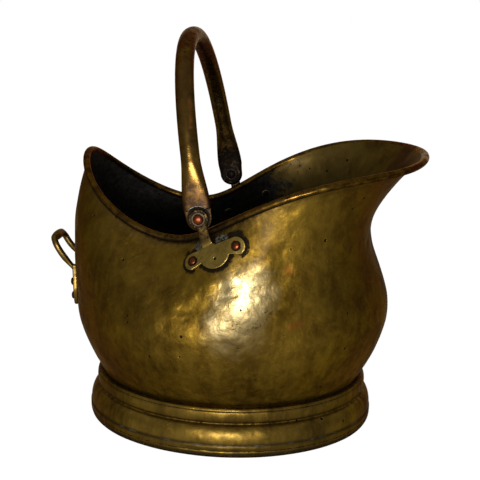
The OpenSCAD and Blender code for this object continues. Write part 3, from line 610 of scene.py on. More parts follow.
def turned(profile, columns, origin, axis, side):
    """A profile of radius and height, turned about axis from origin, with side at angle 0."""
    axis, side = unit(np.asarray(axis, float)), np.asarray(side, float)
    other = unit(np.cross(axis, side))
    side = np.cross(other, axis)
    a = np.arange(columns) * 2 * np.pi / columns
    round_it = np.cos(a)[:, None] * side + np.sin(a)[:, None] * other
    profile = np.asarray(profile, float)
    return origin + profile[:, 0, None, None] * round_it + profile[:, 1, None, None] * axis


def closed_mesh(name, *grids):
    """A mesh of grids that are open along their rows, each turned right side out."""
    skin = Skin()
    for points in grids:
        skin.add(points)
        top = points[-1].mean(0) - points[0].mean(0)
        first = np.cross(points[0][0] - points[0].mean(0), points[0][1] - points[0].mean(0))
        if first @ top < 0:
            skin.quads[-1] = skin.quads[-1][:, ::-1]
    return skin.mesh(name)


print("a washer's profile turned in 8 steps gives rings of shape",
      turned([(5, 0), (5, 1)], 8, (0, 0, 0), (0, 1, 0), (1, 0, 0)).shape)


# %% Helpers that cut, weld and mirror
RELAX, EDGE_ROUNDS, EDGE_FULL = 0.5, 6, 0.10


def apply_modifier(piece, kind, **settings):
    """Adds one modifier, sets it and applies it to the mesh."""
    modifier = piece.modifiers.new(kind.lower(), kind)
    for key, value in settings.items():
        setattr(modifier, key, value)
    graph = bpy.context.evaluated_depsgraph_get()
    mesh = bpy.data.meshes.new_from_object(piece.evaluated_get(graph))
    mesh.name = piece.name
    piece.modifiers.clear()
    old, piece.data = piece.data, mesh
    bpy.data.meshes.remove(old)


def cut(piece, *grids):
    """Takes closed forms out of a piece with a boolean."""
    knife = bpy.data.objects.new("knife", closed_mesh("knife", *grids))
    bpy.context.scene.collection.objects.link(knife)
    apply_modifier(piece, "BOOLEAN", operation="DIFFERENCE", solver="EXACT", object=knife)
    bpy.data.objects.remove(knife)


def weld(piece, square_mm, rounds):
    """Remeshes the piece into even squares and relaxes them."""
    apply_modifier(piece, "REMESH", mode="VOXEL", voxel_size=square_mm * MM, use_smooth_shade=True)
    apply_modifier(piece, "SMOOTH", factor=RELAX, iterations=rounds)
    piece.data.shade_smooth()


def find_edges(piece):
    """Stores how far each point stands out of the smoothed surface, along its normal: above 0 on
    an edge that a cloth rubs bright and that takes a painted highlight, below 0 in a corner that
    keeps its dirt."""
    soft = bpy.data.objects.new("soft", piece.data.copy())
    bpy.context.scene.collection.objects.link(soft)
    apply_modifier(soft, "SMOOTH", factor=RELAX, iterations=EDGE_ROUNDS)
    out = ((points_of(piece) - points_of(soft)) * normals_of(piece)).sum(1)
    mesh = soft.data
    bpy.data.objects.remove(soft)
    bpy.data.meshes.remove(mesh)
    store(piece, "edge", np.clip(out / EDGE_FULL, -1, 1))


def mirrored(piece, name):
    """The same piece on the other side of the bowl: y turned over, and each face turned back."""
    mesh = piece.data.copy()
    turned_over = raw_points(mesh) * np.array((1, -1, 1), np.float32)
    mesh.vertices.foreach_set("co", turned_over.reshape(-1))
    mesh.flip_normals()
    mesh.update()
    mesh.name = name
    return new_piece(name, mesh)


def fit(piece, node, body):
    """The piece stands for the node, whose part is hidden, and moves with the body."""
    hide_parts(node)
    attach(piece, body)


print("edges count in full from", EDGE_FULL, "mm above the smoothed surface")

# %% [markdown]
# ## The lugs
# Each lug starts as a thin plate with three lobes, bent to the bowl and riveted at its two ends,
# with a small empty hole in the middle. From its top a tongue climbs over the rolled rim and ends
# in a round head outside the bail. The outline is worked out as a distance in each direction from
# the plate's middle, and each of its points is then laid on the wall's formula, so the plate
# bends exactly as the bowl does.

# %% Lug
LOBE_R, MID_LOBE_R, MID_LOBE_DROP, WEB_DROP, SHOULDER_R = 8.8, 16.6, 14.5, 5.5, 5.0
SPARE_DROP, SPARE_D, TONGUE_OFFSET, TONGUE_W, HEAD_R = 5.3, 3.0, 6.2, 12.0, 9.6
PLATE_COLUMNS, PLATE_RINGS, TONGUE_SIDES, HEAD_EASE = 320, 26, 48, 0.5
lug_half = float(np.linalg.norm(lug_back - lug_front) / 2)


def inside_outline(x, y):
    """True within the union of two end lobes, the web, the middle lobe and the tongue's neck, but
    not in the round hollows at the neck's sides."""
    left, right = TONGUE_OFFSET - TONGUE_W / 2, TONGUE_OFFSET + TONGUE_W / 2
    lobes = np.hypot(np.abs(x) - lug_half, y) < LOBE_R
    web = (np.abs(x) < lug_half) & (y > -WEB_DROP) & (y < LOBE_R)
    middle = (np.hypot(x, y - MID_LOBE_R + MID_LOBE_DROP) < MID_LOBE_R) & (y <= 0)
    neck = (x > left - SHOULDER_R) & (x < right + SHOULDER_R) & (y > 0) & (y < LOBE_R + SHOULDER_R)
    hollow = np.minimum(np.hypot(x - left + SHOULDER_R, y - LOBE_R - SHOULDER_R),
                        np.hypot(x - right - SHOULDER_R, y - LOBE_R - SHOULDER_R)) < SHOULDER_R
    return (lobes | web | middle | neck) & ~hollow


def outline_reach(turns):
    """How far the outline lies from the middle in each direction: samples run outwards, and once
    more than eight of them lie outside, the outline is eight samples back."""
    r, gap = np.linspace(0.5, 40, 1600), 8
    x, y = r * np.cos(turns)[:, None], r * np.sin(turns)[:, None]
    gone = np.cumsum(~inside_outline(x, y), axis=1) > gap
    return r[np.argmax(gone, axis=1) - gap]


print("the lug's plate reaches", outline_reach(np.radians([0, 90, 270])).round(1), "mm")


# %% The lug's three forms
def on_wall(x, y, lift):
    """Points above the lug plane's x and y: angle and rise are corrected until they project there."""
    a = LUG_ANGLE + x / np.linalg.norm(wall_slopes(LUG_ANGLE, lug_t)[0])
    t = lug_t + y / np.linalg.norm(wall_slopes(LUG_ANGLE, lug_t)[1])
    for _ in range(6):
        t = np.minimum(t, 1.0)
        off = wall(a, t) - lug_middle
        dx, dy = x - off @ lug_x, y - off @ lug_y
        da, dt = wall_slopes(a, t)
        xa, xt, ya, yt = da @ lug_x, dt @ lug_x, da @ lug_y, dt @ lug_y
        det = xa * yt - xt * ya
        a = a + (dx * yt - dy * xt) / det
        t = t + (dy * xa - dx * ya) / det
    t = np.minimum(t, 1.0)
    return wall(a, t) + lift[..., None] * wall_out(a, t)


def lug_plate():
    """Rings from the middle of the outer face over the edge to the middle of the inner face."""
    turns = np.arange(PLATE_COLUMNS) * 2 * np.pi / PLATE_COLUMNS
    reach = outline_reach(turns)
    outwards = np.linspace(0.03, 1, PLATE_RINGS)
    share = np.concatenate([outwards, outwards[::-1]])[:, None]
    lift = np.repeat((SEAT + PLATE_T, SEAT), PLATE_RINGS)[:, None]
    x, y = share * reach * np.cos(turns), share * reach * np.sin(turns)
    return on_wall(x, y, lift + 0 * x)


def tongue():
    """A bar along a cubic from the plate to the head, flat below and thicker above."""
    sink, head_share, head_width, head_side, lean, relief = 0.8, 0.6, 0.56, 3.0, 0.25, 0.6
    step = 0.01
    root = lug_middle + TONGUE_OFFSET * lug_x + LOBE_R * lug_y
    start = root + (SEAT + PLATE_T / 2 - sink) * wall_out(LUG_ANGLE + lug_spread / 4, LUG_NEAR_T)
    finish = np.array((PIVOT_X + head_side, HEAD_Y + (TONGUE_T + relief) / 2,
                       PIVOT_Z - HEAD_R * head_share))
    run = np.linalg.norm(finish - start)
    plumb = 0.6 * run * np.array((-lean, 0, 1))
    guide = (start, start + lug_y * run / 6, finish - plumb, finish)
    t = np.linspace(0, 1, 41)[:, None]
    up = unit(bezier(*guide, t + step) - bezier(*guide, t - step))
    wide = unit(lug_x * (1 - t) + np.array((-1, 0, 0)) * t)
    thick = unit(np.cross(wide, up))
    half_w = TONGUE_W / 2 * (1 - t) + head_width * HEAD_R * t
    half_t = (PLATE_T + (TONGUE_T - relief - PLATE_T) * np.minimum(1, t * 2)) / 2
    return sweep(bezier(*guide, t), np.cross(up, thick), thick, half_w[:, 0], half_t[:, 0], 0.6,
                 TONGUE_SIDES)


def lug_head():
    """A disc of the head's radius with its edges eased by half a millimetre."""
    flat_r, low, high = HEAD_R - HEAD_EASE, HEAD_EASE, TONGUE_T - HEAD_EASE
    profile = [(0.01, 0), (flat_r, 0), (HEAD_R, low), (HEAD_R, high), (flat_r, TONGUE_T),
               (0.01, TONGUE_T)]
    return turned(profile, 96, (PIVOT_X, HEAD_Y, PIVOT_Z), (0, 1, 0), (1, 0, 0))


print("the tongue has", tongue().shape[0], "rings of", TONGUE_SIDES, "points")

# %% Both lugs
spare = lug_middle - SPARE_DROP * lug_y
lug_left = new_piece("lug_left_plate", closed_mesh("lug", lug_plate(), tongue(), lug_head()))
weld(lug_left, square_mm=0.45, rounds=5)
cut(lug_left, turned([(SPARE_D / 2, -8), (SPARE_D / 2, 8)], 40, spare, lug_z, lug_x),
    turned([(PIVOT_D / 2, HEAD_Y - 4), (PIVOT_D / 2, HEAD_Y + 12)], 48, (PIVOT_X, 0, PIVOT_Z),
           (0, 1, 0), (1, 0, 0)))
find_edges(lug_left)
lug_right = mirrored(lug_left, "lug_right_plate")
fit(lug_left, "lug_left", "scuttle")
fit(lug_right, "lug_right", "scuttle")
print("lug:", len(lug_left.data.polygons), "faces,", round(volume(lug_left.data) * 1e9), "mm3 of brass")

# %% [markdown]
# ## The bail
# The bail is a brass tube filled with pitch or sand, bent over a former to a squarish arch, and
# flattened at its ends. Each end is filed down to half its thickness in a round step, so that the
# lug's head sits in it and the whole joint stays flush. The arch is a superellipse: a circle
# whose sine and cosine are raised to a power below one, which fills out its shoulders.

# %% Bail
BAIL_D, BAIL_HEIGHT, BAIL_SQUARE, BAIL_LEAN = 18.5, 165.85, 2.24, 10.0
PADDLE_W, PADDLE_BEVEL, PADDLE_RUN, LAP_R, LAP_RISE = 27.0, 2.0, 48.0, 12.0, 9.0
BAIL_RINGS, BAIL_SIDES, BAIL_PLAY = 361, 64, 0.08


def arch(turn):
    """A superellipse above the pivot's line, from the near side at 0 over to the far one at pi."""
    c, s = np.cos(turn), np.sin(turn)
    y = -BAIL_Y * np.sign(c) * np.abs(c) ** (2 / BAIL_SQUARE)
    return np.stack([0 * y, y, BAIL_HEIGHT * np.abs(s) ** (2 / BAIL_SQUARE)], -1)


def bail_tube():
    """The arch swept with a section that goes from a flat paddle to a round tube."""
    step, crowded = 0.008, 0.6      # rings crowd together towards both ends
    lift = 0.5 - 0.5 * np.cos(np.linspace(0, np.pi, BAIL_RINGS))
    turn = np.pi * (crowded * lift + (1 - crowded) * np.linspace(0, 1, BAIL_RINGS))
    p = arch(turn)
    along = unit(arch(np.minimum(turn + step, np.pi)) - arch(np.maximum(turn - step, 0)))
    along[0], along[-1] = (0, 0, 1), (0, 0, -1)
    x = np.broadcast_to((1.0, 0, 0), p.shape)
    b = smooth((p[:, 2] - LAP_R) / PADDLE_RUN)
    end_w = TIP_D + (PADDLE_W - TIP_D) * np.minimum(1, p[:, 2] / LAP_R)
    half_w = (end_w * (1 - b) + BAIL_D * b) / 2
    half_t = PADDLE_T / 2 * (1 - b) + BAIL_D / 2 * b
    return sweep(p, x, np.cross(x, along), half_w, half_t, 0.6 + 0.4 * b, BAIL_SIDES)


def bail_tip(side):
    """A disc with its inner edge bevelled, centred on the pivot's line."""
    r = TIP_D / 2
    profile = [(0.01, 0), (r - PADDLE_BEVEL, 0), (r, PADDLE_BEVEL), (r, LAP_T), (0.01, LAP_T)]
    return turned(profile, 120, (0, side * BAIL_INNER_Y, 0), (0, side, 0), (1, 0, 0))


def lap_recess(side):
    """What the round step takes away outside the lap: a disc about the pivot, and a block that
    goes from below it to the lap's rise above it."""
    far = LAP_Y + PADDLE_T
    disc = turned([(LAP_R, LAP_Y), (LAP_R, far)], 160, (0, 0, 0), (0, side, 0), (1, 0, 0))
    corners = np.array([(-PADDLE_W, -PADDLE_W), (PADDLE_W, -PADDLE_W), (PADDLE_W, LAP_RISE),
                        (-PADDLE_W, LAP_RISE)])
    box = np.stack([np.stack([corners[:, 0], np.full(4, side * y), corners[:, 1]], -1)
                    for y in (LAP_Y, far)])
    return disc, box


def lean(piece):
    """Turns the piece back about the pivot's line by the bail's lean and moves it there."""
    turn = math.radians(-BAIL_LEAN)
    c, s = math.cos(turn), math.sin(turn)
    x, y, z = raw_points(piece.data).T
    moved = np.stack([c * x + s * z + PIVOT_X * MM, y, -s * x + c * z + PIVOT_Z * MM], -1)
    piece.data.vertices.foreach_set("co", moved.astype(np.float32).reshape(-1))
    piece.data.update()


print("the arch is", round(float(arch(np.pi / 2)[2]), 1), "mm high over the pivots")

# %% Bail, welded, filed and bored
bail = new_piece("bail_tube", closed_mesh("bail", bail_tube(), bail_tip(1), bail_tip(-1)))
apply_modifier(bail, "REMESH", mode="VOXEL", voxel_size=1.0 * MM)
for form in (*lap_recess(1), *lap_recess(-1)):
    cut(bail, form)
weld(bail, square_mm=0.65, rounds=3)
bore_r = PIVOT_D / 2 + BAIL_PLAY
cut(bail, turned([(bore_r, -150), (bore_r, 150)], 48, (0, 0, 0), (0, 1, 0), (1, 0, 0)))
find_edges(bail)
lean(bail)
fit(bail, "bail", "bail")
print("bail:", len(bail.data.polygons), "faces, skin round", round(volume(bail.data) * 1e9), "mm3")


# %% [markdown]
# ## The rear grip
# The tipping hand holds a bowed rod behind the bowl. It springs from two leaf-shaped feet, leans
# out and up, turns a tight corner and swells a little across the middle where the fingers close
# round it. Half of the rod is a path, and the other half is the same path with y turned over.

# %% Rear grip
LEAF_W, LEAF_TIP, LEAF_NECK, ARM_D, GRIP_D = 15.0, 10.0, 18.0, 6.8, 9.6
GRIP_ARM_Y, GRIP_REACH, GRIP_RISE, GRIP_BEND = 21.0, 24.0, 30.0, 9.0
ARM_LEAN, BEND_LEAN, ARM_PULL = math.radians(44), math.radians(30), 0.4
ROD_RINGS, ROD_SIDES, LEAF_COLUMNS, LEAF_BROAD = 151, 40, 60, 0.42
leaf_middle = (leaf_places[0][0] + leaf_places[1][0]) / 2
leaf_up = unit(leaf_places[0][0] - leaf_places[1][0])
leaf_out = wall_out(leaf_angle, sum(leaf_t) / 2)
arm_root = (leaf_middle + leaf_up * (GRIP_PITCH / 2 + LEAF_NECK - LEAF_T)
            + leaf_out * (SEAT + LEAF_T / 2))
GRIP_X, GRIP_Z = arm_root[0] - GRIP_REACH, arm_root[2] + GRIP_RISE


def leaning(lean):
    """The upright direction, leant back from the bowl."""
    return np.array((-math.sin(lean), 0, math.cos(lean)))


def rod(u):
    """0 to 1 is the arm, a cubic; 1 to 2 a quarter turn; 2 to 3 straight to the middle plane."""
    u = np.asarray(u, float)[:, None]
    pull, bend_up = ARM_PULL * GRIP_RISE, leaning(BEND_LEAN)
    straight = np.array((GRIP_X, GRIP_ARM_Y - GRIP_BEND, GRIP_Z))
    corner = straight - GRIP_BEND * bend_up
    start = corner + (0, GRIP_BEND, 0)
    arm = bezier(arm_root, arm_root + pull * leaning(ARM_LEAN), start - pull * bend_up, start,
                 np.minimum(u, 1))
    turn = np.pi / 2 * (np.clip(u, 1, 2) - 1)
    bend = corner + GRIP_BEND * (np.cos(turn) * (0, 1, 0) + np.sin(turn) * bend_up)
    one = np.ones_like(u)
    flat = straight * np.concatenate([one, 3 - np.maximum(u, 2), one], 1)
    return np.where(u <= 1, arm, np.where(u <= 2, bend, flat))


def rod_rings():
    """The whole rod from one foot over to the other, flat at its feet and swollen at its middle."""
    u, step = np.linspace(0, 3, ROD_RINGS), 0.02
    p = rod(u)
    up = unit(rod(np.minimum(3, u + step)) - rod(np.maximum(0, u - step)))
    wide = unit(np.cross(up, (1.0, 0, 0)))
    flat = np.maximum(0, 1 - u * 2)
    swell = np.sin(np.pi / 2 * np.maximum(0, u - 1.5) / 1.5) * (GRIP_D - ARM_D) / 2
    half_w = ARM_D / 2 * (1 + 0.24 * flat) + swell
    half_t = ARM_D / 2 * (1 - flat) + LEAF_T / 2 * flat + swell
    rings = sweep(p, wide, np.cross(wide, up), half_w, half_t, 1.0, ROD_SIDES)
    return np.concatenate([rings, (rings * (1, -1, 1))[-2::-1]])


print("the rod's middle lies at x", round(float(GRIP_X), 1), "and z", round(float(GRIP_Z), 1))


# %% The grip's feet
def leaf(side):
    """Rings of the leaf's outline from its outer face over the edge to its inner face."""
    length = LEAF_TIP + GRIP_PITCH + LEAF_NECK
    u = np.linspace(0, 1, LEAF_COLUMNS) ** 1.5
    rounding = 1 - np.minimum(u, LEAF_BROAD) / LEAF_BROAD
    tip = LEAF_W / 2 * np.sqrt(np.maximum(0, 1 - np.abs(rounding) ** 2.2))
    taper = LEAF_W / 2 * (1 - 0.42 * (u - LEAF_BROAD) / (1 - LEAF_BROAD))
    half = np.where(u < LEAF_BROAD, tip, taper)
    x = u * length - LEAF_TIP - GRIP_PITCH / 2
    outline = np.concatenate([np.stack([x, half], -1), np.stack([x, -half], -1)[-1:0:-1]])
    middle = np.array((4.0, 0.0))
    share = np.array((0.03, 0.3, 0.6, 0.85, 0.96, 1.0, 1.0, 0.96, 0.6, 0.03))[:, None, None]
    lift = SEAT + np.array((LEAF_T,) * 4 + (LEAF_T - 0.15, LEAF_T - 0.8, 0.3, 0, 0, 0))[:, None]
    flat = middle + share * (outline - middle)
    across = np.cross(leaf_out, leaf_up)
    p = (leaf_middle + flat[..., :1] * leaf_up + flat[..., 1:] * across
         + (lift + 0 * flat[..., 0])[..., None] * leaf_out)
    return p * (1, side, 1)


grip = new_piece("rear_grip", closed_mesh("grip", rod_rings(), leaf(1), leaf(-1)))
weld(grip, square_mm=0.5, rounds=4)
find_edges(grip)
fit(grip, "rear_handle", "scuttle")
print("grip:", len(grip.data.polygons), "faces,", round(volume(grip.data) * 1e9), "mm3 of brass")

# %% [markdown]
# ## Copper rivets, burrs and washers
# A coppersmith closes a rivet cold: the shank goes through the work and a washer, called a burr,
# and the end is hammered over. Each head is a low dome with a few small flats from the hammer, so
# the dome's radius is pushed in here and there, differently on each rivet. All of them are turned
# profiles about an axis that comes from the wall's formula or from the pivot's line. One function
# makes every rivet, and one makes every ring.

# %% Rivets and rings
HEAD_D, HEAD_H, PIVOT_HEAD_D, PIVOT_HEAD_H, BURR_SEAT = 8.0, 2.2, 10.0, 3.0, 0.8
BURR_Z = -SHEET - BURR_SEAT
FLATS, FLAT_DEPTH, HEAD_LIP, RING_EASE = 7, (0.05, 0.16), 0.25, 0.25


def rivet(name, frame_at, shank_d, head_d, head_h, top, bottom, side, seed):
    """Closed end, shank and domed head about the frame's axis. Flats press the dome in, and grime
    lies under the work and round the head's rim."""
    origin, axis, up = (np.array(v) * (1, side, 1) for v in frame_at)
    q = np.radians(np.linspace(0, 90, 15))
    tail_r, tail_h = shank_d / 2 + 1, head_h * 0.6
    tail = np.stack([tail_r * np.sin(q) + 0.01, bottom - tail_h * np.cos(q)], -1)
    shank = [(shank_d / 2, bottom), (shank_d / 2, top), (head_d / 2 - HEAD_LIP, top)]
    head = np.stack([head_d / 2 * np.cos(q) + 0.01,
                     top + HEAD_LIP + (head_h - HEAD_LIP) * np.sin(q)], -1)
    profile = np.concatenate([tail, shank, head])
    points = turned(profile, 56, origin, axis, up)
    rng = np.random.default_rng(seed)
    middle = origin + top * axis
    for _ in range(FLATS):
        way = unit(axis * rng.uniform(0.5, 1.6) + np.cross(axis, up) * rng.normal(0, 0.6)
                   + up * rng.normal(0, 0.6))
        reach = (points - middle) @ way
        limit = reach.max() - rng.uniform(*FLAT_DEPTH)
        points = points - np.maximum(0, reach - limit)[..., None] * 0.8 * way
    piece = new_piece(name, closed_mesh(name, points))
    under = (points_of(piece) - origin) @ axis < (top + bottom) / 2
    rim = fade(gap_to(points_of(piece), points[len(tail) + 2]), reach=1.1, start=0.2)
    store(piece, "grime", np.maximum(0.9 * under, rim))
    return piece


def ring(name, frame_at, outer_d, inner_d, low, thick, side):
    """A flat ring with eased edges, carried round its own axis as a closed profile."""
    origin, axis, up = (np.array(v) * (1, side, 1) for v in frame_at)
    ease = min(RING_EASE, thick / 3)
    outer, inner, high = outer_d / 2, inner_d / 2, low + thick
    profile = [(inner, low), (outer - ease, low), (outer, low + ease), (outer, high - ease),
               (outer - ease, high), (inner, high)]
    points = turned(profile, 64, origin, axis, up)
    skin = Skin()
    skin.add(points, wrap_rows=True)
    piece = new_piece(name, skin.mesh(name))
    if volume(piece.data) < 0:
        piece.data.flip_normals()
    return piece


print("a burr's middle lies", BURR_SEAT, "mm off the sheet's inner face")

# %% All the rivets and rings
pivot_frame = (np.array((PIVOT_X, 0, PIVOT_Z)), np.array((0, 1.0, 0)), np.array((0, 0, 1.0)))
rivets, rings = [], []
for s, (side, word) in enumerate(((1, "left"), (-1, "right"))):
    for kind, places, ends, under in (
            ("lug", lug_places, ("front", "back"), SEAT + PLATE_T + SEAT / 2),
            ("grip", leaf_places, ("upper", "lower"), SEAT + LEAF_T + SEAT)):
        for i, end in enumerate(ends):
            seed = 10 * s + 2 * i + len(kind)
            stands_for = f"{kind}_rivet_{word}_{end}"
            rivets.append(rivet(stands_for + "_head", places[i], RIVET_D, HEAD_D, HEAD_H,
                                under + RIVET_FIT, BURR_Z - BURR_T - RIVET_FIT, side, seed))
            fit(rivets[-1], stands_for, "scuttle")
            stands_for = f"{kind}_burr_{word}_{end}"
            rings.append(ring(stands_for + "_ring", places[i], BURR_D, RIVET_D + 2 * RIVET_FIT,
                              BURR_Z - BURR_T, BURR_T, side))
            fit(rings[-1], stands_for, "scuttle")
    stands_for = f"pivot_rivet_{word}"
    rivets.append(rivet(stands_for + "_head", pivot_frame, PIVOT_D, PIVOT_HEAD_D, PIVOT_HEAD_H,
                        WASHER_OUT_Y + WASHER_T + RIVET_FIT, WASHER_IN_Y - RIVET_FIT, side, 31 + s))
    fit(rivets[-1], stands_for, "scuttle")
    for end, y in (("outer", WASHER_OUT_Y), ("inner", WASHER_IN_Y)):
        stands_for = f"pivot_washer_{word}_{end}"
        rings.append(ring(stands_for + "_ring", pivot_frame, WASHER_D, PIVOT_D + 2 * RIVET_FIT, y,
                          WASHER_T, side))
        fit(rings[-1], stands_for, "scuttle")
print(len(rivets), "rivets and", len(rings), "rings; volumes",
      [round(volume(p.data) * 1e9) for p in rivets[:3] + rings[:2]])


# %% [markdown]
# ## Grime as measured dirt
# Black dirt on old brass isn't random. It stays where the polishing cloth can't reach: along the
# edge of a riveted plate, in the slot under the roll, round a rivet's head and in the corner where
# the bowl meets its foot. So the dirt is measured. For each point of a surface, the distance to
# those places is worked out in millimetres and stored as an attribute, and the finishes read it.

# %% Distances stored on the bowl
PATCHES = {     # degrees and rises of their middles, and how many millimetres they reach
    # pale worn brass, and a painted highlight where the panel's blaze falls on the belly
    "rubbed": ((276.5, 279.0, 281.0), (0.12, 0.28, 0.40), 50),
    # dull patina, and painted shade that dims the panel's reflection in three places
    "dulled": ((288.5, 283.0, 278.5), (0.80, 0.04, -0.06), 42),
    "pocked": ((284.0, 289.0, 277.0), (0.13, 0.22, 0.14), 26),
    "blush": ((295.8, 297.0, 299.5), (0.47, 0.11, 0.12), 12),
}
LUG_ZONE, LUG_ZONE_Z, LEAF_ZONE, LEAF_ZONE_Z = 0.5, 150, 2.6, 100    # radians and heights
GRIP_ROOT_X, GRIP_ROOT_Z, SLOT_TURN = -172, 165, math.radians(250)
SOLDER_X = np.array((15.0, 17.0, 19.0, 17.5, -5.0, -8.0, -11.0, -14.0))
SOLDER_Y = np.array((11.5, 13.0, 15.0, 18.0, 13.0, 14.0, 13.5, 12.5))


def both_sides(places):
    """The places, and the same ones on the other side of the bowl."""
    return np.concatenate([places, places * (1, -1, 1)])


def lug_edge(count=150):
    """Places along the outline of the left lug's plate, on the wall."""
    turns = np.arange(count) * 2 * np.pi / count
    reach = outline_reach(turns)
    return on_wall(reach * np.cos(turns), reach * np.sin(turns), np.zeros(count))


def slot_under_roll(count=480):
    """Places where the roll comes back to the wall."""
    a = np.arange(count) * 2 * np.pi / count
    return bead(a, BEAD_R, np.full(count, SLOT_TURN))


def leaf_edge():
    """Every twelfth point of the grip that lies low, by its feet."""
    p = points_of(grip)
    return p[(p[:, 2] < GRIP_ROOT_Z) & (p[:, 0] > GRIP_ROOT_X)][::12]


def bowl_grime(p, rim_gap):
    """Dirt round the lugs, the grip's feet and the spare hole, and in the slot under the roll."""
    angle = np.abs(np.arctan2(p[:, 1], p[:, 0]))
    by_lug = (np.abs(angle - LUG_ANGLE) < LUG_ZONE) & (p[:, 2] > LUG_ZONE_Z)
    by_leaf = (angle > LEAF_ZONE) & (p[:, 2] > LEAF_ZONE_Z)
    edge_gap = gap_to(p[by_lug], both_sides(lug_edge()))
    corner = fade(edge_gap, reach=7, start=2.5) * fade(rim_gap[by_lug], reach=9, start=11)
    hole = fade(gap_to(p[by_lug], both_sides(spare[None])), reach=1.5, start=1.4)
    edge = fade(edge_gap, reach=4.5, start=1.2)
    grime = np.zeros(len(p))
    grime[by_lug] = np.maximum.reduce([edge, 0.9 * corner, 1.4 * hole])
    grime[by_leaf] = 0.8 * fade(gap_to(p[by_leaf], leaf_edge()), reach=4)
    return np.maximum(grime, fade(rim_gap, reach=5.0, start=0.6))


def bowl_dust_and_shade(p):
    """A dull film of grime and painted shade on the spout and, thinner, on the back half."""
    front = smooth((p[:, 0] - 70) / 60) * smooth((p[:, 2] - 110) / 60)
    return np.maximum(front, 0.75 * smooth((-15 - p[:, 0]) / 70))


print("the lugs' outlines give", len(both_sides(lug_edge())), "places")

# %% Numbers of the bowl
bowl_points = points_of(bowl)
rim_gap = gap_to(bowl_points, slot_under_roll())
grime = bowl_grime(bowl_points, rim_gap)
store(bowl, "grime", grime)
# painted shade: a darker belt under the rolled rim
store(bowl, "under_rim", fade(rim_gap, reach=14))
# painted shade with a dull film: darker on the spout and the back half
store(bowl, "dust", bowl_dust_and_shade(bowl_points))
for name, (angles, patch_rises, reach) in PATCHES.items():
    middles = wall(np.radians(angles), np.array(patch_rises))
    if name == "rubbed":
        middles = both_sides(middles)
    store(bowl, name, fade(gap_to(bowl_points, middles), reach))
solder_at = both_sides(on_wall(SOLDER_X, SOLDER_Y, np.zeros(len(SOLDER_X))))
store(bowl, "solder", fade(gap_to(bowl_points, solder_at), reach=3.0, start=1.5))
print("dirty points on the bowl:", int((grime > 0.5).sum()))


# %% Distances stored on the fittings
WARM_FROM, WARM_TO = (-34.5, -110.2, 346.7), (-30.4, -124.4, 319.7)
# faces turned to this point, within the arch, get painted shade
ARCH_SHADE_FROM = np.array((PIVOT_X, 0, PIVOT_Z + 40))      # what the inside of the arch looks at


def pivot_gap(p):
    """Distance from the pivots' line, seen from the side."""
    return np.hypot(p[:, 0] - PIVOT_X, p[:, 2] - PIVOT_Z)


def lug_grime(p):
    """Dirt round the rivets and the spare hole, on the head's face, behind the plate's edge and
    at the root of the tongue."""
    heads = np.array([at + (SEAT + PLATE_T) * out for at, out, _ in lug_places])
    return np.maximum.reduce([
        1.2 * fade(np.abs(gap_to(p, heads) - HEAD_D / 2), reach=2.2),
        1.3 * fade(gap_to(p, spare[None]), reach=1.6, start=SPARE_D / 2),
        0.5 * fade(pivot_gap(p), reach=5, start=8) * (p[:, 1] > HEAD_Y - 1),
        0.7 * (gap_to(p, lug_edge()) < 1.1),
        0.36 * fade(pivot_gap(p), reach=7, start=19)])


def bail_grime_and_shade(p):
    """Dirt on the lap's floor and on the inner faces of its ends, painted shade on the faces within
    the arch, and a darkening towards the top.
    """
    side = np.abs(p[:, 1])
    lap_floor = (side < LAP_Y + 1.0) & (side > LAP_Y - 1.0) & (pivot_gap(p) < 11.4)
    # painted shade: faces that look into the arch are darker
    arch_inside_shade = smooth((normals_of(bail) * unit(ARCH_SHADE_FROM - p)).sum(1) / 0.8)
    return np.maximum.reduce([
        0.9 * lap_floor,
        0.33 * arch_inside_shade,
        # darker towards the top of the arch
        0.3 * smooth((p[:, 2] - 345) / 45),
        0.62 * fade(pivot_gap(p), reach=26, start=22) * (side < BAIL_INNER_Y + 1.5)])


def bail_lip_highlight(p):
    """A painted highlight on the upper edge of the round step, where the lug's head lies in the
    bail's end: only above the pivots.
    """
    rim = fade(np.abs(pivot_gap(p) - LAP_R - 0.3), reach=0.9)
    return rim * (np.abs(p[:, 1]) > LAP_Y + 1.0) * smooth((p[:, 2] - PIVOT_Z) / 6)


def grip_grime(p):
    """A ring of dirt round each of the grip's rivets, on both of its feet."""
    heads = np.array([at + (SEAT + LEAF_T) * out for at, out, _ in leaf_places])
    one_side = np.stack([p[:, 0], np.abs(p[:, 1]), p[:, 2]], -1)
    return fade(np.abs(gap_to(one_side, heads) - HEAD_D / 2), reach=1.5)


def foot_line(z, height, reach):
    """1 at this height on the foot, and 0 a reach above it and below it."""
    return fade(np.abs(z - height), reach)


def foot_grime_and_shade(z):
    """Dirt in the groove over the band, both fine lines and both ends, and a wide band in the
    waist that is partly dirt and partly painted shade in its hollow.
    """
    collar_line = FOOT_H - (FOOT_H - WAIST_Z) / 2 * (1 - math.sin(math.radians(BEAD_TURN)))
    # the waist's wide soft band is partly painted shade in the hollow
    lines = ((0.75, BAND_H + 1.5 * GROOVE, 1.0), (0.34, WAIST_Z - 0.5, 6.0), (0.6, LINE_Z, 0.8),
             (0.4, FOOT_H, 1.2), (0.7, collar_line, 0.7), (0.8, 0, 9.0))
    return np.maximum.reduce([share * foot_line(z, *where) for share, *where in lines])


print("the copper streak runs from", WARM_FROM, "to", WARM_TO)

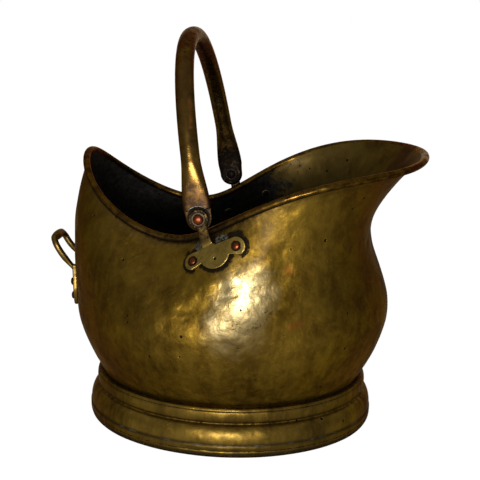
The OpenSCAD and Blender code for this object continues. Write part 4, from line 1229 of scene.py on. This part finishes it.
# %% Numbers of the fittings
for plate, side in ((lug_left, 1), (lug_right, -1)):
    plate_points = points_of(plate) * (1, side, 1)
    store(plate, "grime", lug_grime(plate_points))
    store(plate, "browned", fade(pivot_gap(plate_points), reach=7, start=21))
bail_points = points_of(bail)
store(bail, "grime", bail_grime_and_shade(bail_points))
store(bail, "stain", fade(pivot_gap(bail_points), reach=42, start=12))
store(bail, "warm", fade(gap_to(bail_points, np.linspace(WARM_FROM, WARM_TO, 12)), reach=6))
# darker towards the bail's top
store(bail, "high", smooth((bail_points[:, 2] - 295) / 75))
# painted highlight: the lit upper arc of the round step
store(bail, "lip", bail_lip_highlight(bail_points))
store(grip, "grime", grip_grime(points_of(grip)))
foot_z = points_of(foot)[:, 2]
store(foot, "grime", foot_grime_and_shade(foot_z))
store(foot, "crust", np.maximum(foot_line(foot_z, BAND_H + 1.5 * GROOVE, 3.0),
                                0.8 * foot_line(foot_z, 4.0, 4.0)))
print("numbers on the bail:", ", ".join(sorted(a.name for a in bail.data.attributes
                                              if a.data_type == "FLOAT")))


# %% [markdown]
# ## Effects that the finishes share
# Old brass is many small effects on one metal, and each is a node group with named inputs, built
# once and used with other values on each piece. Mottle is the cloudy change from gold to brown,
# streaks are the fine upright lines of a century of rubbing, pits are the black pinholes, and
# fine wear is the unrest of the surface itself, a height that a Bump node turns into a normal.
# The groups put out only masks and heights. The shader stays in each material, where an exporter
# can read it.

# %% Node helpers
def new_group(name, inputs, outputs):
    """A shader node group with float inputs and outputs, and its input and output nodes."""
    group = bpy.data.node_groups.new(name, "ShaderNodeTree")
    for key, default in inputs:
        socket = group.interface.new_socket(key, in_out="INPUT", socket_type="NodeSocketFloat")
        socket.default_value = default
    for key in outputs:
        group.interface.new_socket(key, in_out="OUTPUT", socket_type="NodeSocketFloat")
    return group, group.nodes.new("NodeGroupInput"), group.nodes.new("NodeGroupOutput")


def put(tree, socket, value):
    """Links a socket, or writes a plain value on it."""
    if isinstance(value, bpy.types.NodeSocket):
        tree.links.new(value, socket)
    else:
        socket.default_value = value


def node(tree, kind, out=0, settings=None, **inputs):
    """One node with its settings and inputs; gives the output socket that is asked for. Inputs
    go by name, with _ for a space, or by number after an i."""
    made = tree.nodes.new("ShaderNode" + kind)
    for key, value in (settings or {}).items():
        setattr(made, key, value)
    for key, value in inputs.items():
        put(tree, made.inputs[int(key[1:]) if key[1:].isdigit() else key.replace("_", " ")], value)
    return made.outputs[out]


def maths(tree, kind, a, b=0.0, clamp=False):
    """One sum of two numbers, held between 0 and 1 if clamp is set."""
    return node(tree, "Math", settings={"operation": kind, "use_clamp": clamp}, i0=a, i1=b)


def times(tree, a, b):
    """a times b."""
    return maths(tree, "MULTIPLY", a, b)


def plus(tree, a, b, clamp=False):
    """a plus b."""
    return maths(tree, "ADD", a, b, clamp)


def minus(tree, a, b):
    """a less b."""
    return maths(tree, "SUBTRACT", a, b)


def between(tree, value, low, high, to_low=0.0, to_high=1.0):
    """Smooth step of a value from low to high, carried to two new values."""
    return node(tree, "MapRange", settings={"interpolation_type": "SMOOTHSTEP"}, Value=value,
                From_Min=low, From_Max=high, To_Min=to_low, To_Max=to_high)


def along_share(tree, share, first, last):
    """The number that lies a share of the way from first to last."""
    return node(tree, "MapRange", Value=share, From_Min=0.0, From_Max=1.0, To_Min=first,
                To_Max=last)


def object_coords(tree):
    """Where the point lies on its object, in metres."""
    return node(tree, "TexCoord", out="Object")


def split_xyz(tree, vector):
    """The vector's X, Y and Z, as sockets by name."""
    made = tree.nodes.new("ShaderNodeSeparateXYZ")
    put(tree, made.inputs["Vector"], vector)
    return made.outputs


def noise_at(tree, coords, scale, detail, rough, bend=0.0):
    """Noise of about scale spots to the metre. Detail adds finer ones, rough says how strongly,
    and bend pulls them out of shape."""
    return node(tree, "TexNoise", Vector=coords, Scale=scale, Detail=detail, Roughness=rough,
                Distortion=bend)


def colour_mix(tree, factor, a, b):
    """Colour a where the factor is 0 and colour b where it is 1. Of the node's many sockets,
    inputs 6 and 7 and output 2 are the colours."""
    made = tree.nodes.new("ShaderNodeMix")
    made.data_type = "RGBA"
    put(tree, made.inputs["Factor"], factor)
    put(tree, made.inputs[6], a)
    put(tree, made.inputs[7], b)
    return made.outputs[2]


print("helpers for", ", ".join(f.__name__ for f in (node, maths, between, noise_at, colour_mix)))


# %% Shared effects
def build_mottle():
    """Two noises, one of broad clouds and one of small blotches, each with its own output."""
    group, given, result = new_group("mottle", [("Size", 18.0), ("Seed", 0.0)],
                                     ["Clouds", "Blotches"])
    size, seed = given.outputs["Size"], given.outputs["Seed"]
    coords = node(group, "VectorMath", settings={"operation": "ADD"}, i0=object_coords(group),
                  i1=node(group, "CombineXYZ", X=seed, Y=seed, Z=0.3))
    broad = noise_at(group, coords, size, 5.0, 0.6, 0.4)
    small = noise_at(group, coords, times(group, size, 4.3), 6.0, 0.65, 0.6)
    put(group, result.inputs["Clouds"], between(group, broad, 0.36, 0.64))
    put(group, result.inputs["Blotches"], between(group, small, 0.34, 0.66))
    return group


def build_streaks():
    """Noise that is squeezed round the piece and drawn out upright, in two widths."""
    group, given, result = new_group("streaks", [("Fineness", 150.0)], ["Fine", "Broad"])
    fineness, coords = given.outputs["Fineness"], object_coords(group)
    upright = node(group, "Mapping", Vector=coords, Scale=(1, 1, 0.09))
    shorter = node(group, "Mapping", Vector=coords, Scale=(1, 1, 0.38), Location=(0.4, 0.1, 0))
    fine = noise_at(group, upright, fineness, 4.0, 0.6, 0.2)
    broad = noise_at(group, shorter, times(group, fineness, 0.2), 3.0, 0.5, 0.3)
    put(group, result.inputs["Fine"], between(group, fine, 0.35, 0.65))
    put(group, result.inputs["Broad"], between(group, broad, 0.35, 0.65))
    return group


def build_pits():
    """Small discs round the cells' points; only cells of one rare sort hold a pit."""
    group, given, result = new_group("pits", [("Scale", 90.0), ("Share", 0.2), ("Radius", 0.14)],
                                     ["Pits"])
    cells = group.nodes.new("ShaderNodeTexVoronoi")
    put(group, cells.inputs["Vector"], object_coords(group))
    put(group, cells.inputs["Scale"], given.outputs["Scale"])
    lot = node(group, "SeparateColor", Color=cells.outputs["Color"])
    size = node(group, "SeparateColor", out=1, Color=cells.outputs["Color"])
    radius = times(group, given.outputs["Radius"], between(group, size, 0.0, 1.0, 0.4, 1.0))
    hole = between(group, minus(group, radius, cells.outputs["Distance"]), -0.02, 0.04)
    chosen = maths(group, "LESS_THAN", lot, given.outputs["Share"])
    put(group, result.inputs["Pits"], times(group, hole, chosen))
    return group


def scratches(group, coords):
    """Thin crests of two noises, each drawn out along its own direction."""
    crests = []
    for turn, seed in (((0.3, 0.9, 0.2), 1.0), ((1.2, 0.1, 2.1), 7.0)):
        laid = node(group, "Mapping", Vector=coords, Rotation=turn, Scale=(1, 14, 1),
                    Location=(seed, 0, 0))
        crests.append(between(group, noise_at(group, laid, 60.0, 3.0, 0.7), 0.62, 0.70))
    return maths(group, "MAXIMUM", *crests)


def build_wear():
    """Height from hammer unrest, its facets, a fine grain and scratches that lie two ways: 0.8
    of the unrest, 0.05 of the grain and 0.5 of the facets, less 0.03 of the scratches."""
    group, given, result = new_group("fine_wear", [("Unrest", 55.0)], ["Height", "Scratches"])
    unrest, coords = given.outputs["Unrest"], object_coords(group)
    soft = noise_at(group, coords, unrest, 1.5, 0.5, 0.4)
    grain = noise_at(group, coords, 900.0, 3.0, 0.6)
    stir = node(group, "TexNoise", out="Color", Vector=coords, Scale=60.0, Detail=2.0)
    bent = node(group, "VectorMath", settings={"operation": "MULTIPLY_ADD"}, i0=stir,
                i1=(0.012, 0.012, 0.012), i2=coords)
    facet = node(group, "TexVoronoi", settings={"feature": "SMOOTH_F1"}, Vector=bent,
                 Scale=times(group, unrest, 1.2), Smoothness=0.6)
    lines = scratches(group, coords)
    height = plus(group, times(group, soft, 0.8), times(group, grain, 0.05))
    height = plus(group, height, times(group, facet, 0.5))
    height = minus(group, height, times(group, lines, 0.03))
    put(group, result.inputs["Height"], height)
    put(group, result.inputs["Scratches"], lines)
    return group


GROUPS = {"mottle": build_mottle(), "streaks": build_streaks(), "pits": build_pits(),
          "wear": build_wear()}
print("shared effects:", ", ".join(GROUPS))


# %% [markdown]
# ## One metal for every finish
# Bare, rubbed and dirty brass are one metal under layers that differ in strength. A picture could
# be painted for each piece, but it would not follow when a size is changed. So one function builds
# the metal from a bright, a brown and a dark colour, and each finish gives its own values. The
# clouds and streaks choose between bright and brown, a veil of fine streaks darkens it, raised
# edges are rubbed pale and carry a painted highlight, and corners and pits stay dark.

# %% A metal with layers
BASE_BROWN, FROM_CLOUDS, FROM_BLOTCHES, FROM_STREAKS, FROM_GRAIN = 0.07, 0.38, 0.36, 0.38, 0.55
# the pale edges are partly a painted highlight
PIT_DEPTH, BUMP_STRENGTH, BUMP_M, EDGE_HIGHLIGHT_GAIN = 0.5, 0.8, 0.0016, 1.9
PIT_BLACK, DIRT = (0.006, 0.004, 0.003, 1), (0.008, 0.006, 0.004, 1)
MIRROR_EDGE, COAT_ROUGH = (0.5, 0.36, 0.18, 1), 0.28
GRIMY_ROUGH, GRIMY_SHARE = 0.7, 0.95


def effect(tree, name, out, **inputs):
    """A shared effect in this material, with its own values."""
    made = tree.nodes.new("ShaderNodeGroup")
    made.node_tree = GROUPS[name]
    for key, value in inputs.items():
        put(tree, made.inputs[key], value)
    return made.outputs[out]


def blotches(tree, size, seed):
    """The mottle's small blotches."""
    return effect(tree, "mottle", "Blotches", Size=size, Seed=seed)


def stored(tree, name):
    """The number that the mesh holds under this name, or 0 where it holds none."""
    return node(tree, "Attribute", out="Fac", settings={"attribute_name": name})


def tint(tree, colour, mask, strength, layer):
    """The layer's colour over the one below it, by mask times strength."""
    return colour_mix(tree, times(tree, mask, strength), colour, layer)


def brown_share(tree, size, seed, streaks, broad):
    """A base share of brown, plus clouds, blotches and broad streaks times their weights, plus or
    less a fine grain."""
    clouds = effect(tree, "mottle", "Clouds", Size=size, Seed=seed)
    share = plus(tree, times(tree, clouds, FROM_CLOUDS), BASE_BROWN)
    share = plus(tree, share, times(tree, blotches(tree, size, seed + 3.0), FROM_BLOTCHES))
    share = plus(tree, share, times(tree, broad, FROM_STREAKS * streaks))
    grain = minus(tree, noise_at(tree, object_coords(tree), 170.0, 5.0, 0.7, 0.3), 0.5)
    return plus(tree, share, times(tree, grain, FROM_GRAIN), clamp=True)


def edge_wear_and_highlight(tree, colour, bright, dark, rubbed):
    """Paler than the bright colour on edges that stand out, partly worn and partly a painted
    highlight, and dark in corners that lie back.
    """
    edge = stored(tree, "edge")
    pale = tuple(min(1.0, EDGE_HIGHLIGHT_GAIN * c) for c in bright[:3]) + (1,)
    colour = colour_mix(tree, between(tree, edge, 0.15, 0.8, 0.0, rubbed), colour, pale)
    return colour_mix(tree, between(tree, edge, -0.7, -0.12, 0.85, 0.0), colour, dark)


def hammer_dimples(tree, depth):
    """Small dimples on the outside of the bowl, none on its roll or inside."""
    dimple = noise_at(tree, object_coords(tree), 130.0, 2.0, 0.45, 0.4)
    return times(tree, dimple, between(tree, stored(tree, "sort"), 0.05, 0.2, depth, 0.0))


print("before clouds and streaks, each finish is", BASE_BROWN, "brown")


# %% The metal itself
def metal(name, bright, brown, dark, rough, size=14.0, seed=0.0, streaks=0.0, pits=0.3,
          coat=0.04, edges=0.75, dimples=0.0, layers=None):
    """Brass or copper: bright where it is rubbed, brown in clouds, streaked, pitted and grimy.
    The layers function lays more over it, and gives back colour and roughness."""
    material = bpy.data.materials.new(name)
    material.use_nodes = True
    tree = material.node_tree
    shader = tree.nodes["Principled BSDF"]
    fine, broad = effect(tree, "streaks", "Fine"), effect(tree, "streaks", "Broad")
    share = brown_share(tree, size, seed, streaks, broad)
    colour = colour_mix(tree, share, bright, brown)
    veil = times(tree, fine, plus(tree, broad, 0.3))
    colour = tint(tree, colour, veil, 0.5 * streaks, dark)
    colour = tint(tree, colour, effect(tree, "wear", "Scratches"), 0.25, bright)
    colour = edge_wear_and_highlight(tree, colour, bright, dark, edges)
    roughness = along_share(tree, share, rough - 0.07, rough + 0.13)
    if layers:
        colour, roughness = layers(tree, colour, roughness)
    hole = effect(tree, "pits", "Pits", Share=pits)
    colour = colour_mix(tree, hole, colour, PIT_BLACK)
    height = minus(tree, effect(tree, "wear", "Height"), times(tree, hole, PIT_DEPTH))
    if dimples:
        height = plus(tree, height, hammer_dimples(tree, dimples))
    normal = node(tree, "Bump", Height=height, Strength=BUMP_STRENGTH, Distance=BUMP_M)
    for socket, value in (("Base Color", colour), ("Roughness", roughness), ("Normal", normal),
                          ("Metallic", 1.0), ("Specular Tint", MIRROR_EDGE),
                          ("Coat Weight", coat), ("Coat Roughness", COAT_ROUGH)):
        put(tree, shader.inputs[socket], value)
    return material


def grime_layer(tree, colour, roughness):
    """Dirt where the piece stores grime: the number times the blotches plus 0.55, drawn apart."""
    torn = plus(tree, blotches(tree, 60.0, 9.0), 0.55)
    mask = between(tree, times(tree, stored(tree, "grime"), torn), 0.22, 0.62, 0.0, GRIMY_SHARE)
    return colour_mix(tree, mask, colour, DIRT), along_share(tree, mask, roughness, GRIMY_ROUGH)


print("dirt takes", GRIMY_SHARE, "of the colour where it is thickest")

# %% [markdown]
# ## What lies on each piece
# Each piece has a history of its own. Grease browns the lugs' tongues and the bail near its
# pivots, damp leaves a crust low on the foot, cloths rub the belly's proud sides pale, copper
# blushes through in a few spots, and coal blackens the inside up to where it slides out over the
# spout. Some marks are painted light and shade as well. The belly's pale patch carries a painted
# highlight. Its dull patches, its film front and back and a belt under the rim are partly painted
# shade. The pale edges of the fittings and the bail's step carry painted highlights, the inside of
# the bail's arch and the foot's waist get painted shade, and the bail is darker towards its top.
# One picture over all could show this, but the marks would not stay on their pieces. So each
# function lays its marks over the metal: where they lie is stored in the mesh, and noise tears
# their borders.

# %% Layers of the foot, the lugs and the bail
FOOT_FILM, CRUST = (0.04, 0.026, 0.008, 1), (0.085, 0.095, 0.085, 1)
GREASE_BROWN, BAIL_BROWN = (0.052, 0.028, 0.006, 1), (0.10, 0.047, 0.010, 1)
COPPER_FLECK, BAIL_TOP = (0.32, 0.10, 0.020, 1), (0.06, 0.028, 0.007, 1)
BLOOM, BURNT_BLOOM = (0.048, 0.023, 0.007, 1), (0.014, 0.008, 0.006, 1)
# a painted highlight, silvery, on the step's upper edge
LIP_HIGHLIGHT_SILVER = (0.42, 0.42, 0.38, 1)


def foot_layers(tree, colour, roughness):
    """Dirt in the turned lines, and near the floor and in the groove over the band a brown film
    with patches of grey-green crust."""
    colour, roughness = grime_layer(tree, colour, roughness)
    low = stored(tree, "crust")
    torn = noise_at(tree, object_coords(tree), 42.0, 7.0, 0.72, 0.4)
    patches = between(tree, times(tree, low, torn), 0.50, 0.58, 0.0, 0.7)
    colour = tint(tree, colour, low, 0.9, FOOT_FILM)
    colour = colour_mix(tree, patches, colour, CRUST)
    return colour, plus(tree, roughness, times(tree, patches, 0.2))


def lug_layers(tree, colour, roughness):
    """The tongue and head are brown from the bail's rubbing grease; dirt lies round the rivets."""
    colour = tint(tree, colour, stored(tree, "browned"), 0.9, GREASE_BROWN)
    return grime_layer(tree, colour, roughness)


def warm_streak(tree, colour):
    """Flecks of copper red on one shoulder of the arch, where the brown is rubbed through."""
    flecks = noise_at(tree, object_coords(tree), 120.0, 3.0, 0.6, 0.3)
    mask = between(tree, times(tree, stored(tree, "warm"), flecks), 0.30, 0.55, 0.0, 0.6)
    return colour_mix(tree, mask, colour, COPPER_FLECK)


def bail_bloom(tree, near):
    """How far the bloom covers the bail, and its colour: brown, with blotches nearly black."""
    torn = times(tree, blotches(tree, 20.0, 12.0), 0.5)
    burnt = between(tree, blotches(tree, 38.0, 8.0), 0.25, 0.7)
    mask = between(tree, plus(tree, near, torn), 0.55, 1.0)
    return mask, colour_mix(tree, burnt, BLOOM, BURNT_BLOOM)


def bail_layers(tree, colour, roughness):
    """Brown near the pivots, copper flecks, a browner top, the handling's bloom in torn blotches,
    dirt with painted shade inside the arch, and a painted silvery highlight on the lip of the round
    step."""
    near = stored(tree, "stain")
    colour = tint(tree, colour, near, 0.75, BAIL_BROWN)
    colour = warm_streak(tree, colour)
    # darker towards the top
    colour = tint(tree, colour, stored(tree, "high"), 0.6, BAIL_TOP)
    mask, bloom = bail_bloom(tree, near)
    colour = tint(tree, colour, mask, 0.8, bloom)
    roughness = plus(tree, roughness, times(tree, mask, 0.12))
    colour, roughness = grime_layer(tree, colour, roughness)
    # painted highlight: a silvery arc on the step's upper edge
    lip = between(tree, stored(tree, "lip"), 0.3, 0.8)
    return colour_mix(tree, lip, colour, LIP_HIGHLIGHT_SILVER), roughness


print("layers for the foot, the lugs and the bail")


# %% Layers of the bowl
# the first colour is pale worn brass and partly a painted highlight
RUBBED_PALE_HIGHLIGHT, SPECK = (0.36, 0.285, 0.135, 1), (0.03, 0.014, 0.006, 1)
# the first colour is dull olive patina and partly painted shade
DULL_OLIVE_SHADE, COPPER_BLUSH = (0.06, 0.034, 0.005, 1), (0.22, 0.062, 0.012, 1)
# a dull brown film that is partly painted shade, and a belt of painted shade under the rim
FILM_AND_SHADE, SHADE_BELT = (0.055, 0.029, 0.006, 1), (0.09, 0.055, 0.016, 1)
SOLDER_GREY, SOLDER_DARK = (0.14, 0.132, 0.092, 1), (0.02, 0.018, 0.013, 1)


def rubbed_belly_and_highlight(tree, colour, roughness):
    """Paler and a little smoother on the proud sides, by the stored number times torn blotches:
    worn brass, and a painted highlight where the panel's blaze falls.
    """
    torn = plus(tree, blotches(tree, 13.0, 21.0), 0.9)
    mask = between(tree, times(tree, stored(tree, "rubbed"), torn), 0.2, 1.5)
    colour = tint(tree, colour, mask, 0.66, RUBBED_PALE_HIGHLIGHT)
    return colour, minus(tree, roughness, times(tree, mask, 0.07))


def marks_on_the_belly(tree, colour, roughness):
    """Dark specks in three places, three dull patches that are partly patina and partly painted
    shade over the panel's reflection, and copper that blushes through in spots.
    """
    coords = object_coords(tree)
    specks = times(tree, stored(tree, "pocked"), noise_at(tree, coords, 420.0, 2.0, 0.5))
    colour = colour_mix(tree, between(tree, specks, 0.50, 0.58, 0.0, 0.85), colour, SPECK)
    # painted shade, partly dull patina: darker and rougher where the panel's reflection fell too bright
    dulled = stored(tree, "dulled")
    colour = tint(tree, colour, dulled, 0.8, DULL_OLIVE_SHADE)
    roughness = plus(tree, roughness, times(tree, dulled, 0.12))
    torn = plus(tree, noise_at(tree, coords, 110.0, 4.0, 0.7, 0.5), 0.3)
    blush = between(tree, times(tree, stored(tree, "blush"), torn), 0.25, 0.85, 0.0, 0.6)
    return colour_mix(tree, blush, colour, COPPER_BLUSH), roughness


def solder_layer(tree, colour):
    """Grey, speckled crumbs of old solder by the lugs."""
    torn = plus(tree, blotches(tree, 70.0, 14.0), 0.5)
    mask = between(tree, times(tree, stored(tree, "solder"), torn), 0.3, 0.75)
    speckle = between(tree, blotches(tree, 110.0, 3.0), 0.25, 0.8)
    return colour_mix(tree, mask, colour, colour_mix(tree, speckle, SOLDER_GREY, SOLDER_DARK))


print("the belly's marks:", ", ".join(PATCHES))


# %% Layers of the roll and the inside
ROLL_BRONZE, ROLL_BROWN = (0.105, 0.054, 0.006, 1), (0.035, 0.017, 0.002, 1)
ROLL_BLACK, SLIDE_GOLD = (0.01, 0.007, 0.004, 1), (0.17, 0.112, 0.028, 1)
SOOT, ASH = (0.020, 0.018, 0.015, 1), (0.050, 0.045, 0.037, 1)
INNER_BRASS, INNER_BROWN = (0.115, 0.072, 0.014, 1), (0.05, 0.029, 0.006, 1)
SOOTY_ROUGH, SLIDE_ROUGH, LIP_FROM, LIP_TO = 0.62, 0.56, 0.085, 0.112


def roll_layer(tree, sort, colour, roughness):
    """The roll: bronze and brown blotches, black in the slot beneath, and a little smoother."""
    roll = maths(tree, "LESS_THAN", maths(tree, "ABSOLUTE", minus(tree, sort, 0.5)), 0.3)
    rolled = colour_mix(tree, blotches(tree, 30.0, 5.0), ROLL_BRONZE, ROLL_BROWN)
    rolled = tint(tree, rolled, stored(tree, "grime"), 0.9, ROLL_BLACK)
    return colour_mix(tree, roll, colour, rolled), minus(tree, roughness, times(tree, roll, 0.12))


def way_to_the_lip(tree):
    """How far towards the lip a point of the inside lies: x plus a quarter of its height, made
    ragged by clouds and crumbs."""
    coords = object_coords(tree)
    spot = split_xyz(tree, coords)
    clouds = minus(tree, noise_at(tree, coords, 16.0, 6.0, 0.65, 0.8), 0.5)
    crumbs = minus(tree, noise_at(tree, coords, 150.0, 5.0, 0.75, 0.6), 0.5)
    way = plus(tree, spot["X"], times(tree, clouds, 0.13))
    way = plus(tree, way, times(tree, spot["Z"], 0.25))
    return plus(tree, way, times(tree, crumbs, 0.16))


def inside_layer(tree, sort, colour, roughness):
    """Soot and ash inside, which give way to the brown and gold brass of the spout's floor
    between 85 and 112 mm of the way to the lip."""
    inside = maths(tree, "GREATER_THAN", sort, 0.8)
    way = way_to_the_lip(tree)
    clean = between(tree, way, LIP_FROM, LIP_TO)
    soot = colour_mix(tree, blotches(tree, 48.0, 2.0), SOOT, ASH)
    clouds = effect(tree, "mottle", "Clouds", Size=20.0, Seed=6.0)
    brass = colour_mix(tree, clouds, INNER_BRASS, INNER_BROWN)
    brass = colour_mix(tree, between(tree, way, 0.10, 0.20, 0.6, 0.0), brass, SLIDE_GOLD)
    colour = colour_mix(tree, inside, colour, colour_mix(tree, clean, soot, brass))
    inner_rough = between(tree, clean, 0.0, 1.0, SOOTY_ROUGH, SLIDE_ROUGH)
    outer_share = times(tree, minus(tree, 1.0, inside), roughness)
    return colour, plus(tree, times(tree, inside, inner_rough), outer_share)


def bowl_layers(tree, colour, roughness):
    """A pale worn belly that also carries a painted highlight, with its marks, a dull film and painted
    shade front and back, a belt of painted shade under the rim, dirt at the joins, solder, the
    red-brown roll and the sooty inside."""
    sort = stored(tree, "sort")
    # painted highlight, partly wear: the pale patch on the belly
    colour, roughness = rubbed_belly_and_highlight(tree, colour, roughness)
    colour, roughness = marks_on_the_belly(tree, colour, roughness)
    # painted shade with a dull film, front and back
    colour = tint(tree, colour, stored(tree, "dust"), 0.4, FILM_AND_SHADE)
    # painted shade: a darker belt under the rim
    colour = tint(tree, colour, stored(tree, "under_rim"), 0.45, SHADE_BELT)
    colour, roughness = grime_layer(tree, colour, roughness)
    colour = solder_layer(tree, colour)
    colour, roughness = roll_layer(tree, sort, colour, roughness)
    return inside_layer(tree, sort, colour, roughness)


print("the spout's floor is clean of soot from", LIP_TO, "m on")

# %% [markdown]
# ## The finishes
# Old brass from one workshop still ages differently, piece by piece, so each finish is a row of
# values for the same metal. The bowl is olive and the most worn, the spun foot is a little
# brighter, the bail is darker and brown from hands, the lugs are rubbed gold, and the grip is
# duller than they are. Rivets are copper, burrs are smoked, the outer washers are dark and the
# inner ones nearly black. The two solids that have no finer piece, the bottom and the wire in the
# rim, take the dark brass.

# %% Finishes
OLIVE_BLACK = (0.014, 0.007, 0.001, 1)
FINISHES = {
    "hammered_brass": dict(
        bright=(0.215, 0.127, 0.013, 1), brown=(0.053, 0.026, 0.002, 1), dark=OLIVE_BLACK,
        rough=0.40, size=19.0, streaks=0.45, coat=0.03, dimples=0.42, layers=bowl_layers),
    "spun_brass": dict(
        bright=(0.235, 0.142, 0.021, 1), brown=(0.085, 0.049, 0.007, 1), dark=OLIVE_BLACK,
        rough=0.36, seed=1.0, streaks=0.8, layers=foot_layers),
    "bail_brass": dict(
        bright=(0.185, 0.101, 0.017, 1), brown=(0.036, 0.019, 0.006, 1),
        dark=(0.016, 0.009, 0.004, 1), rough=0.27, size=26.0, seed=2.0, streaks=0.2, edges=0.5,
        layers=bail_layers),
    "worn_brass": dict(
        bright=(0.32, 0.215, 0.045, 1), brown=(0.11, 0.070, 0.014, 1),
        dark=(0.03, 0.022, 0.014, 1), rough=0.36, size=75.0, seed=4.0, streaks=0.1, edges=0.35,
        layers=lug_layers),
    "dark_brass": dict(
        bright=(0.05, 0.032, 0.015, 1), brown=(0.03, 0.02, 0.012, 1),
        dark=(0.012, 0.009, 0.007, 1), rough=0.46, size=60.0, seed=5.0, streaks=0.1, pits=0.1),
    "copper": dict(
        bright=(0.15, 0.036, 0.010, 1), brown=(0.07, 0.018, 0.007, 1),
        dark=(0.03, 0.014, 0.011, 1), rough=0.33, size=120.0, seed=6.0, pits=0.0,
        layers=grime_layer),
    "handled_brass": dict(
        bright=(0.19, 0.115, 0.020, 1), brown=(0.07, 0.041, 0.010, 1),
        dark=(0.022, 0.013, 0.006, 1), rough=0.36, size=50.0, seed=9.0, streaks=0.1, edges=0.3,
        layers=grime_layer),
    "smoked_brass": dict(
        bright=(0.20, 0.155, 0.10, 1), brown=(0.10, 0.08, 0.055, 1), dark=(0.03, 0.025, 0.02, 1),
        rough=0.44, size=90.0, seed=8.0, pits=0.0),
    "sooty_ring": dict(
        bright=(0.022, 0.018, 0.014, 1), brown=(0.013, 0.010, 0.008, 1),
        dark=(0.006, 0.005, 0.004, 1), rough=0.6, size=90.0, seed=7.0, pits=0.0),
}
LARGE_PIECES = ((bowl, "hammered_brass"), (foot, "spun_brass"), (bail, "bail_brass"),
                (lug_left, "worn_brass"), (lug_right, "worn_brass"), (grip, "handled_brass"))
SMALL_PIECES = (("rivet", "copper"), ("burr", "smoked_brass"), ("inner", "sooty_ring"),
                ("outer", "dark_brass"))


def small_finish(name):
    """The finish that goes with the first of the words that stands in the piece's name."""
    return next(finish for word, finish in SMALL_PIECES if word in name)


finishes = {name: metal(name, **values) for name, values in FINISHES.items()}
for piece, finish in LARGE_PIECES + tuple((p, small_finish(p.name)) for p in rivets + rings):
    piece.data.materials.clear()
    piece.data.materials.append(finishes[finish])
for name in ("bottom_plate", "rim_wire"):
    for slot in bpy.data.objects[name].material_slots:
        slot.material = finishes["dark_brass"]
print(len(finishes), "finishes")

# %% [markdown]
# ## Light, floor and backdrop
# The photograph is a cut-out on white, and the metal was lit by one lamp close to the camera in a
# dim room. So the camera sees white, while the metal sees a soft grey studio with one bright
# panel in front. Brass shows its shape only through what it mirrors: the grey makes the dark
# olive, the panel makes the blaze on the belly, and the white wall far behind makes the pale
# edges where the bowl turns away.

# %% Studio
CAMERA_WHITE, PALE_SHARE, FLOOR_GLOW, FLOOR_HALF = (1, 1, 1, 1), 0.75, 1.24, 3.0
GREY_LOW, GREY_HIGH, WALL_FROM = 0.22, 0.52, 0.82
PANEL_AT, PANEL_TOWARDS = (0.05, -1.445, 0.315), (0.03, -0.155, 0.166)
PANEL_W, PANEL_H, PANEL_WATTS, PANEL_COLOUR = 0.50, 0.20, 21.5, (0.97, 0.98, 1.05)


def build_world():
    """White for the camera, a white wall behind for gloss, and a grey that rises to the zenith."""
    world = bpy.data.worlds.new("studio")
    bpy.context.scene.world = world
    world.use_nodes = True
    tree = world.node_tree
    tree.nodes.clear()
    rays = tree.nodes.new("ShaderNodeLightPath")
    way = split_xyz(tree, node(tree, "TexCoord", out="Generated"))
    grey = between(tree, way["Z"], -0.2, 1.0, GREY_LOW, GREY_HIGH)
    mirrored = maths(tree, "MAXIMUM", rays.outputs["Is Glossy Ray"],
                     rays.outputs["Is Transmission Ray"])
    mirrored_wall = times(tree, mirrored, between(tree, way["Y"], WALL_FROM, 1.0))
    soft = node(tree, "Background", Color=(0.97, 0.98, 1.0, 1), Strength=grey)
    white = node(tree, "Background", Color=CAMERA_WHITE, Strength=1.0)
    seen = maths(tree, "MAXIMUM", rays.outputs["Is Camera Ray"], mirrored_wall)
    mixed = node(tree, "MixShader", i0=seen, i1=soft, i2=white)
    out = tree.nodes.new("ShaderNodeOutputWorld")
    put(tree, out.inputs["Surface"], mixed)


def floor_material():
    """A pale diffuse floor; for the camera, three quarters of it is an even white glow."""
    material = bpy.data.materials.new("floor")
    material.use_nodes = True
    tree = material.node_tree
    tree.nodes.clear()
    pale = node(tree, "BsdfDiffuse", Color=(0.8, 0.8, 0.8, 1))
    white = node(tree, "Emission", Color=CAMERA_WHITE, Strength=FLOOR_GLOW)
    rays = tree.nodes.new("ShaderNodeLightPath")
    share = times(tree, rays.outputs["Is Camera Ray"], PALE_SHARE)
    mixed = node(tree, "MixShader", i0=share, i1=pale, i2=white)
    out = tree.nodes.new("ShaderNodeOutputMaterial")
    put(tree, out.inputs["Surface"], mixed)
    return material


def build_floor():
    """A square floor that the camera sees as white except where the object's shadow lies."""
    mesh = bpy.data.meshes.new("floor")
    corners = [(x * FLOOR_HALF, y * FLOOR_HALF, 0) for x, y in ((-1, -1), (1, -1), (1, 1), (-1, 1))]
    mesh.from_pydata(corners, [], [(0, 1, 2, 3)])
    floor = bpy.data.objects.new("floor", mesh)
    bpy.context.scene.collection.objects.link(floor)
    mesh.materials.append(floor_material())


def add_panel():
    """A rectangular lamp in front of the scuttle, turned towards its belly."""
    lamp = bpy.data.lights.new("front_panel", "AREA")
    lamp.shape = "RECTANGLE"
    lamp.size, lamp.size_y = PANEL_W, PANEL_H
    lamp.energy, lamp.color = PANEL_WATTS, PANEL_COLOUR
    panel = bpy.data.objects.new("front_panel", lamp)
    turn = (Vector(PANEL_TOWARDS) - Vector(PANEL_AT)).to_track_quat("-Z", "Y")
    panel.matrix_world = Matrix.Translation(PANEL_AT) @ turn.to_matrix().to_4x4()
    bpy.context.scene.collection.objects.link(panel)


build_world()
build_floor()
add_panel()
bpy.context.scene.view_settings.view_transform = "Standard"
print("one panel of", PANEL_WATTS, "watts and a grey studio")
